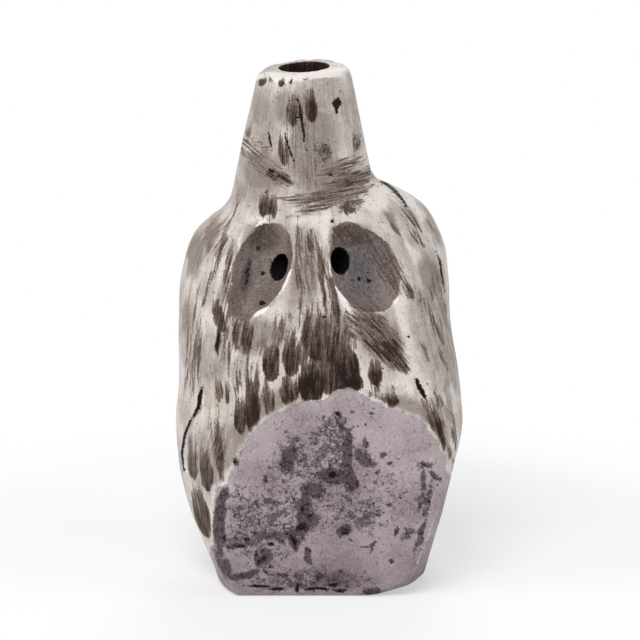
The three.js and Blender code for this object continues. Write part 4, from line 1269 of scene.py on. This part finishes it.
# %% Colours of the washed clay
cloud = washed.noise(place, 9, 4, 0.5).step(0.3, 0.7)
fleck = washed.noise(place, 2.2, 5, 0.65).step(0.3, 0.7)
specks = washed.noise(place, 0.5, 3, 0.6).step(0.3, 0.7)
thin = (0.4 * cloud + 0.6 * broad_streaks - 0.5 * washed.carried("pale")).step(0.25, 0.8)
warm = washed.noise(place, 12, 3).step(0.5, 0.7)
filmed_and_shaded = (washed.carried("film") + 0.4 * broad_streaks + 0.2 * fleck - 0.3).step(0.05, 0.85)
wash = washed.coats(
    (222, 214, 208),
    (thin, (172, 162, 156)),
    (0.8 * washed.carried("pale"), (232, 225, 219)),
    (0.4 * warm, (197, 187, 171)),
    (0.85 * filmed_and_shaded, (132, 121, 113)),
)
burnt = 1.3 * bareness + 0.2 * fleck + (0.8 + 0.4 * hatched) * streaks - 0.45 * hatched - 0.84
fired = washed.mix(burnt.step(0, 1), (128, 113, 104), (40, 24, 20))
colour = washed.mix(bare, wash, fired)

# %% The hollows
# painted shade: the hollows darker where the film and shade number is high, and the sockets darker
# deeper in
dim = washed.carried("film") * (0.8 + 0.2 * fleck)
scored = (0.8 * specks + (0.5 + 0.5 * hatched) * streaks - 0.55).step(0, 0.7)
dents = washed.noise(place, 0.9, 4, 0.75)
gouged = washed.coats(
    (137, 124, 120),
    (dim, (84, 70, 66)),
    (washed.carried("blue") * (0.5 + 0.4 * fleck), (84, 86, 93)),
    (0.3 * (1 - dents).step(0.5, 0.62), (54, 43, 41)),
    (0.4 * dents.step(0.52, 0.66), (172, 160, 156)),
    (0.65 * scored, (58, 45, 42)),
)
colour = washed.mix((washed.carried("hollow") + 0.3 * specks - 0.15).step(0.3, 0.7), colour, gouged)

# %% The stained flat
on_the_flat = (washed.carried("flat") + 0.3 * fleck + 0.3 * grit - 0.3).step(0.3, 0.7)
mottle = washed.noise(place, 0.6, 4, 0.7)
# the film and shade number darkens the flat toward its bottom: painted shade
lilac = washed.coats(
    (181, 167, 172),
    (cloud, (158, 144, 149)),
    (washed.carried("film") * (0.3 + 0.5 * fleck), (104, 90, 95)),
    (0.7 * washed.carried("pale"), (186, 175, 176)),
    (0.5 * (mottle + 0.15 * cloud).step(0.55, 0.75), (112, 98, 104)),
)
blots = washed.noise(place, 1.5, 8, 0.8).step(0.3, 0.7)
amount = 1.1 * washed.carried("stain") - (0.66 * blots + 0.34 * specks) + 0.06
stained = amount.step(-0.08, 0.2)
dots = washed.noise(place, 0.9, 3, 0.7)
soaked = washed.mix(amount.step(0, 0.45), (112, 98, 104), (84, 71, 77))
soaked = washed.mix(0.85 * (2 * dots + 0.3 * specks - 1.06).step(0, 0.5), soaked, (34, 22, 26))
soaked = washed.mix(on_the_flat, (84, 72, 67), soaked)
peppered = (dots + 0.14 * washed.carried("stain")).step(0.63, 0.69)

# %% Soot with painted shade, and painted highlights on edges
# soot marks, with painted shade in the cord tunnel, the mouth hole and the cracks
soot_and_shade_mask = (washed.carried("soot") + 0.5 * specks - 0.25).step(0.3, 0.75)
# painted highlight: near white where the highlight number is high, on the wash only
highlighted = washed.carried("crest") + 0.35 * specks + 0.3 * fleck - 0.6 * bareness - 0.28
colour = washed.coats(
    colour,
    (on_the_flat, lilac),
    (0.95 * stained, soaked),
    (0.8 * peppered, (50, 38, 41)),
    (0.16 * grit.step(0.42, 0.62), (40, 30, 30)),
    (soot_and_shade_mask, (14, 9, 10)),
    (highlighted.step(0.2, 0.6), (234, 228, 222)),
)
gloss = 0.52 + 0.12 * fleck + 0.1 * bare
relief = 0.4 * streaks + 0.3 * grit - 0.4 * bare - 0.4 * stained
WASH_DEPTH, WASH_SHINE = 0.00018, 0.12
limewashed = washed.done(colour, gloss, relief, WASH_DEPTH, **{"Specular IOR Level": WASH_SHINE})


# %% Plain clay for the hidden pieces, and burnished teeth
def plain_clay(name, dark, light, roughness, depth):
    """Clay without wash, mottled between two colours."""
    finish = Finish(name)
    place = clay_place(finish)
    cloud = finish.noise(place, 5, 5, 0.6).step(0.35, 0.65)
    grit = finish.noise(place, 0.5, 4, 0.65)
    colour = finish.mix(0.6 * cloud + 0.4 * grit, dark, light)
    # painted shade on the teeth near the face, with random dark specks on all plain clay
    dirt_and_shade = finish.carried("soot") * (0.7 + 0.6 * grit)
    dirt_and_shade = dirt_and_shade + finish.noise(place, 0.9, 3).step(0.62, 0.72)
    colour = finish.mix(dirt_and_shade.step(0, 1), colour, (48, 40, 38))
    return finish.done(colour, roughness + 0.15 * grit, grit + cloud, depth)


bare_clay = plain_clay("bare_clay", (88, 75, 68), (124, 108, 99), 0.75, 0.0001)
burnished = plain_clay("burnished_clay", (186, 174, 160), (216, 207, 196), 0.42, 0.00006)

# %% Put the finishes on
for piece in skins:
    piece.data.materials.clear()
    piece.data.materials.append(burnished if piece in teeth else limewashed)
sounding_parts = [
    "air_duct", "aperture_disc", "collision_collar", "chamber_top", "chamber_bottom", "base_plug",
]
for name in sounding_parts:
    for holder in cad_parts[name].material_slots:
        holder.material = bare_clay

# %% [markdown]
# ## Joining the frame
# Nothing on the whistle moves, so every piece rides on the one body. Each piece says which
# imported node it stands for, and that node is hidden.

# %% Say what each piece is
stands_for = {
    neck_skin: "mouthpiece", rear_skin: "rear_shell", face_skin: "face_shell",
    jaw: "lower_jaw", teeth[0]: "upper_teeth", teeth[1]: "lower_teeth",
}
for piece, node in stands_for.items():
    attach(piece, "root")
    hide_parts(node)

# %% [markdown]
# ## Floor and light
# The photograph has a white ground and light from all round, with a soft lamp above and in
# front. The world is white where the camera sees it, straight or in a reflection or through
# glass, and dimmer where it only lights. Near the whistle the floor glows a little for those
# rays and keeps the shadow. Further off it is plain white light.


# %% The floor
RAYS_THAT_SHOW = ("Is Camera Ray", "Is Glossy Ray", "Is Transmission Ray")
FLOOR_REACH, FLOOR_WHITE, FLOOR_GLOW, WORLD_LIGHT = 2, 0.93, 0.45, 0.36


def backdrop():
    """A white floor that fades into the white of the world."""
    square = ((-1, -1), (1, -1), (1, 1), (-1, 1))
    corners = [(FLOOR_REACH * x, FLOOR_REACH * y, 0) for x, y in square]
    floor = put_mesh("floor", corners, [(0, 1, 2, 3)])
    finish = Finish("floor_white")
    matt = {"Base Color": (FLOOR_WHITE, FLOOR_WHITE, FLOOR_WHITE, 1), "Roughness": 0.9}
    near = finish.node("ShaderNodeBsdfPrincipled", {}, matt)
    far = finish.node("ShaderNodeEmission", {}, {"Color": (1, 1, 1, 1), "Strength": 1})
    place = finish.node("ShaderNodeTexCoord", output="Object")
    away = finish.node("ShaderNodeVectorMath", {"operation": "LENGTH"}, {0: place}, output=1)
    rays = [finish.node("ShaderNodeLightPath", output=kind) for kind in RAYS_THAT_SHOW]
    glow = away.step(0.05, 0.14).most(FLOOR_GLOW * rays[0].most(rays[1]).most(rays[2]))
    surface = finish.node("ShaderNodeMixShader", {}, {0: glow, 1: near, 2: far})
    finish.node("ShaderNodeOutputMaterial", {}, {"Surface": surface})
    floor.data.materials.append(finish.material)
    return floor


backdrop()


# %% The lamps
LAMP_SIZE, LAMP_AIM = 0.5, Vector((0, 0, 0.06))


def lamp(name, place, watts):
    """A soft round lamp that looks at the middle of the whistle."""
    data = bpy.data.lights.new(name, "AREA")
    data.shape, data.size, data.energy = "DISK", LAMP_SIZE, watts
    made = put(name, data)
    made.location = place
    made.rotation_euler = (LAMP_AIM - Vector(place)).to_track_quat("-Z", "Y").to_euler()


lamp("over_front", (-0.15, -0.55, 0.75), 4.6)
lamp("left_side", (-0.75, -0.3, 0.35), 2.3)
lamp("right_side", (0.75, -0.2, 0.35), 1.8)
lamp("behind", (0.1, 0.8, 0.6), 2.5)

# %% The world
world = bpy.data.worlds.new("white_room")
bpy.context.scene.world = world
world.use_nodes = True
sky = world.node_tree
sky.nodes.clear()
paths = sky.nodes.new("ShaderNodeLightPath")
strength = sky.nodes.new("ShaderNodeMapRange")
strength.inputs["To Min"].default_value = WORLD_LIGHT
shown = paths.outputs[RAYS_THAT_SHOW[0]]
for kind in RAYS_THAT_SHOW[1:]:
    most = sky.nodes.new("ShaderNodeMath")
    most.operation = "MAXIMUM"
    sky.links.new(shown, most.inputs[0])
    sky.links.new(paths.outputs[kind], most.inputs[1])
    shown = most.outputs[0]
sky.links.new(shown, strength.inputs["Value"])
background = sky.nodes.new("ShaderNodeBackground")
sky.links.new(strength.outputs[0], background.inputs["Strength"])
ground = sky.nodes.new("ShaderNodeOutputWorld")
sky.links.new(background.outputs[0], ground.inputs["Surface"])
bpy.context.scene.view_settings.view_transform = "Standard"
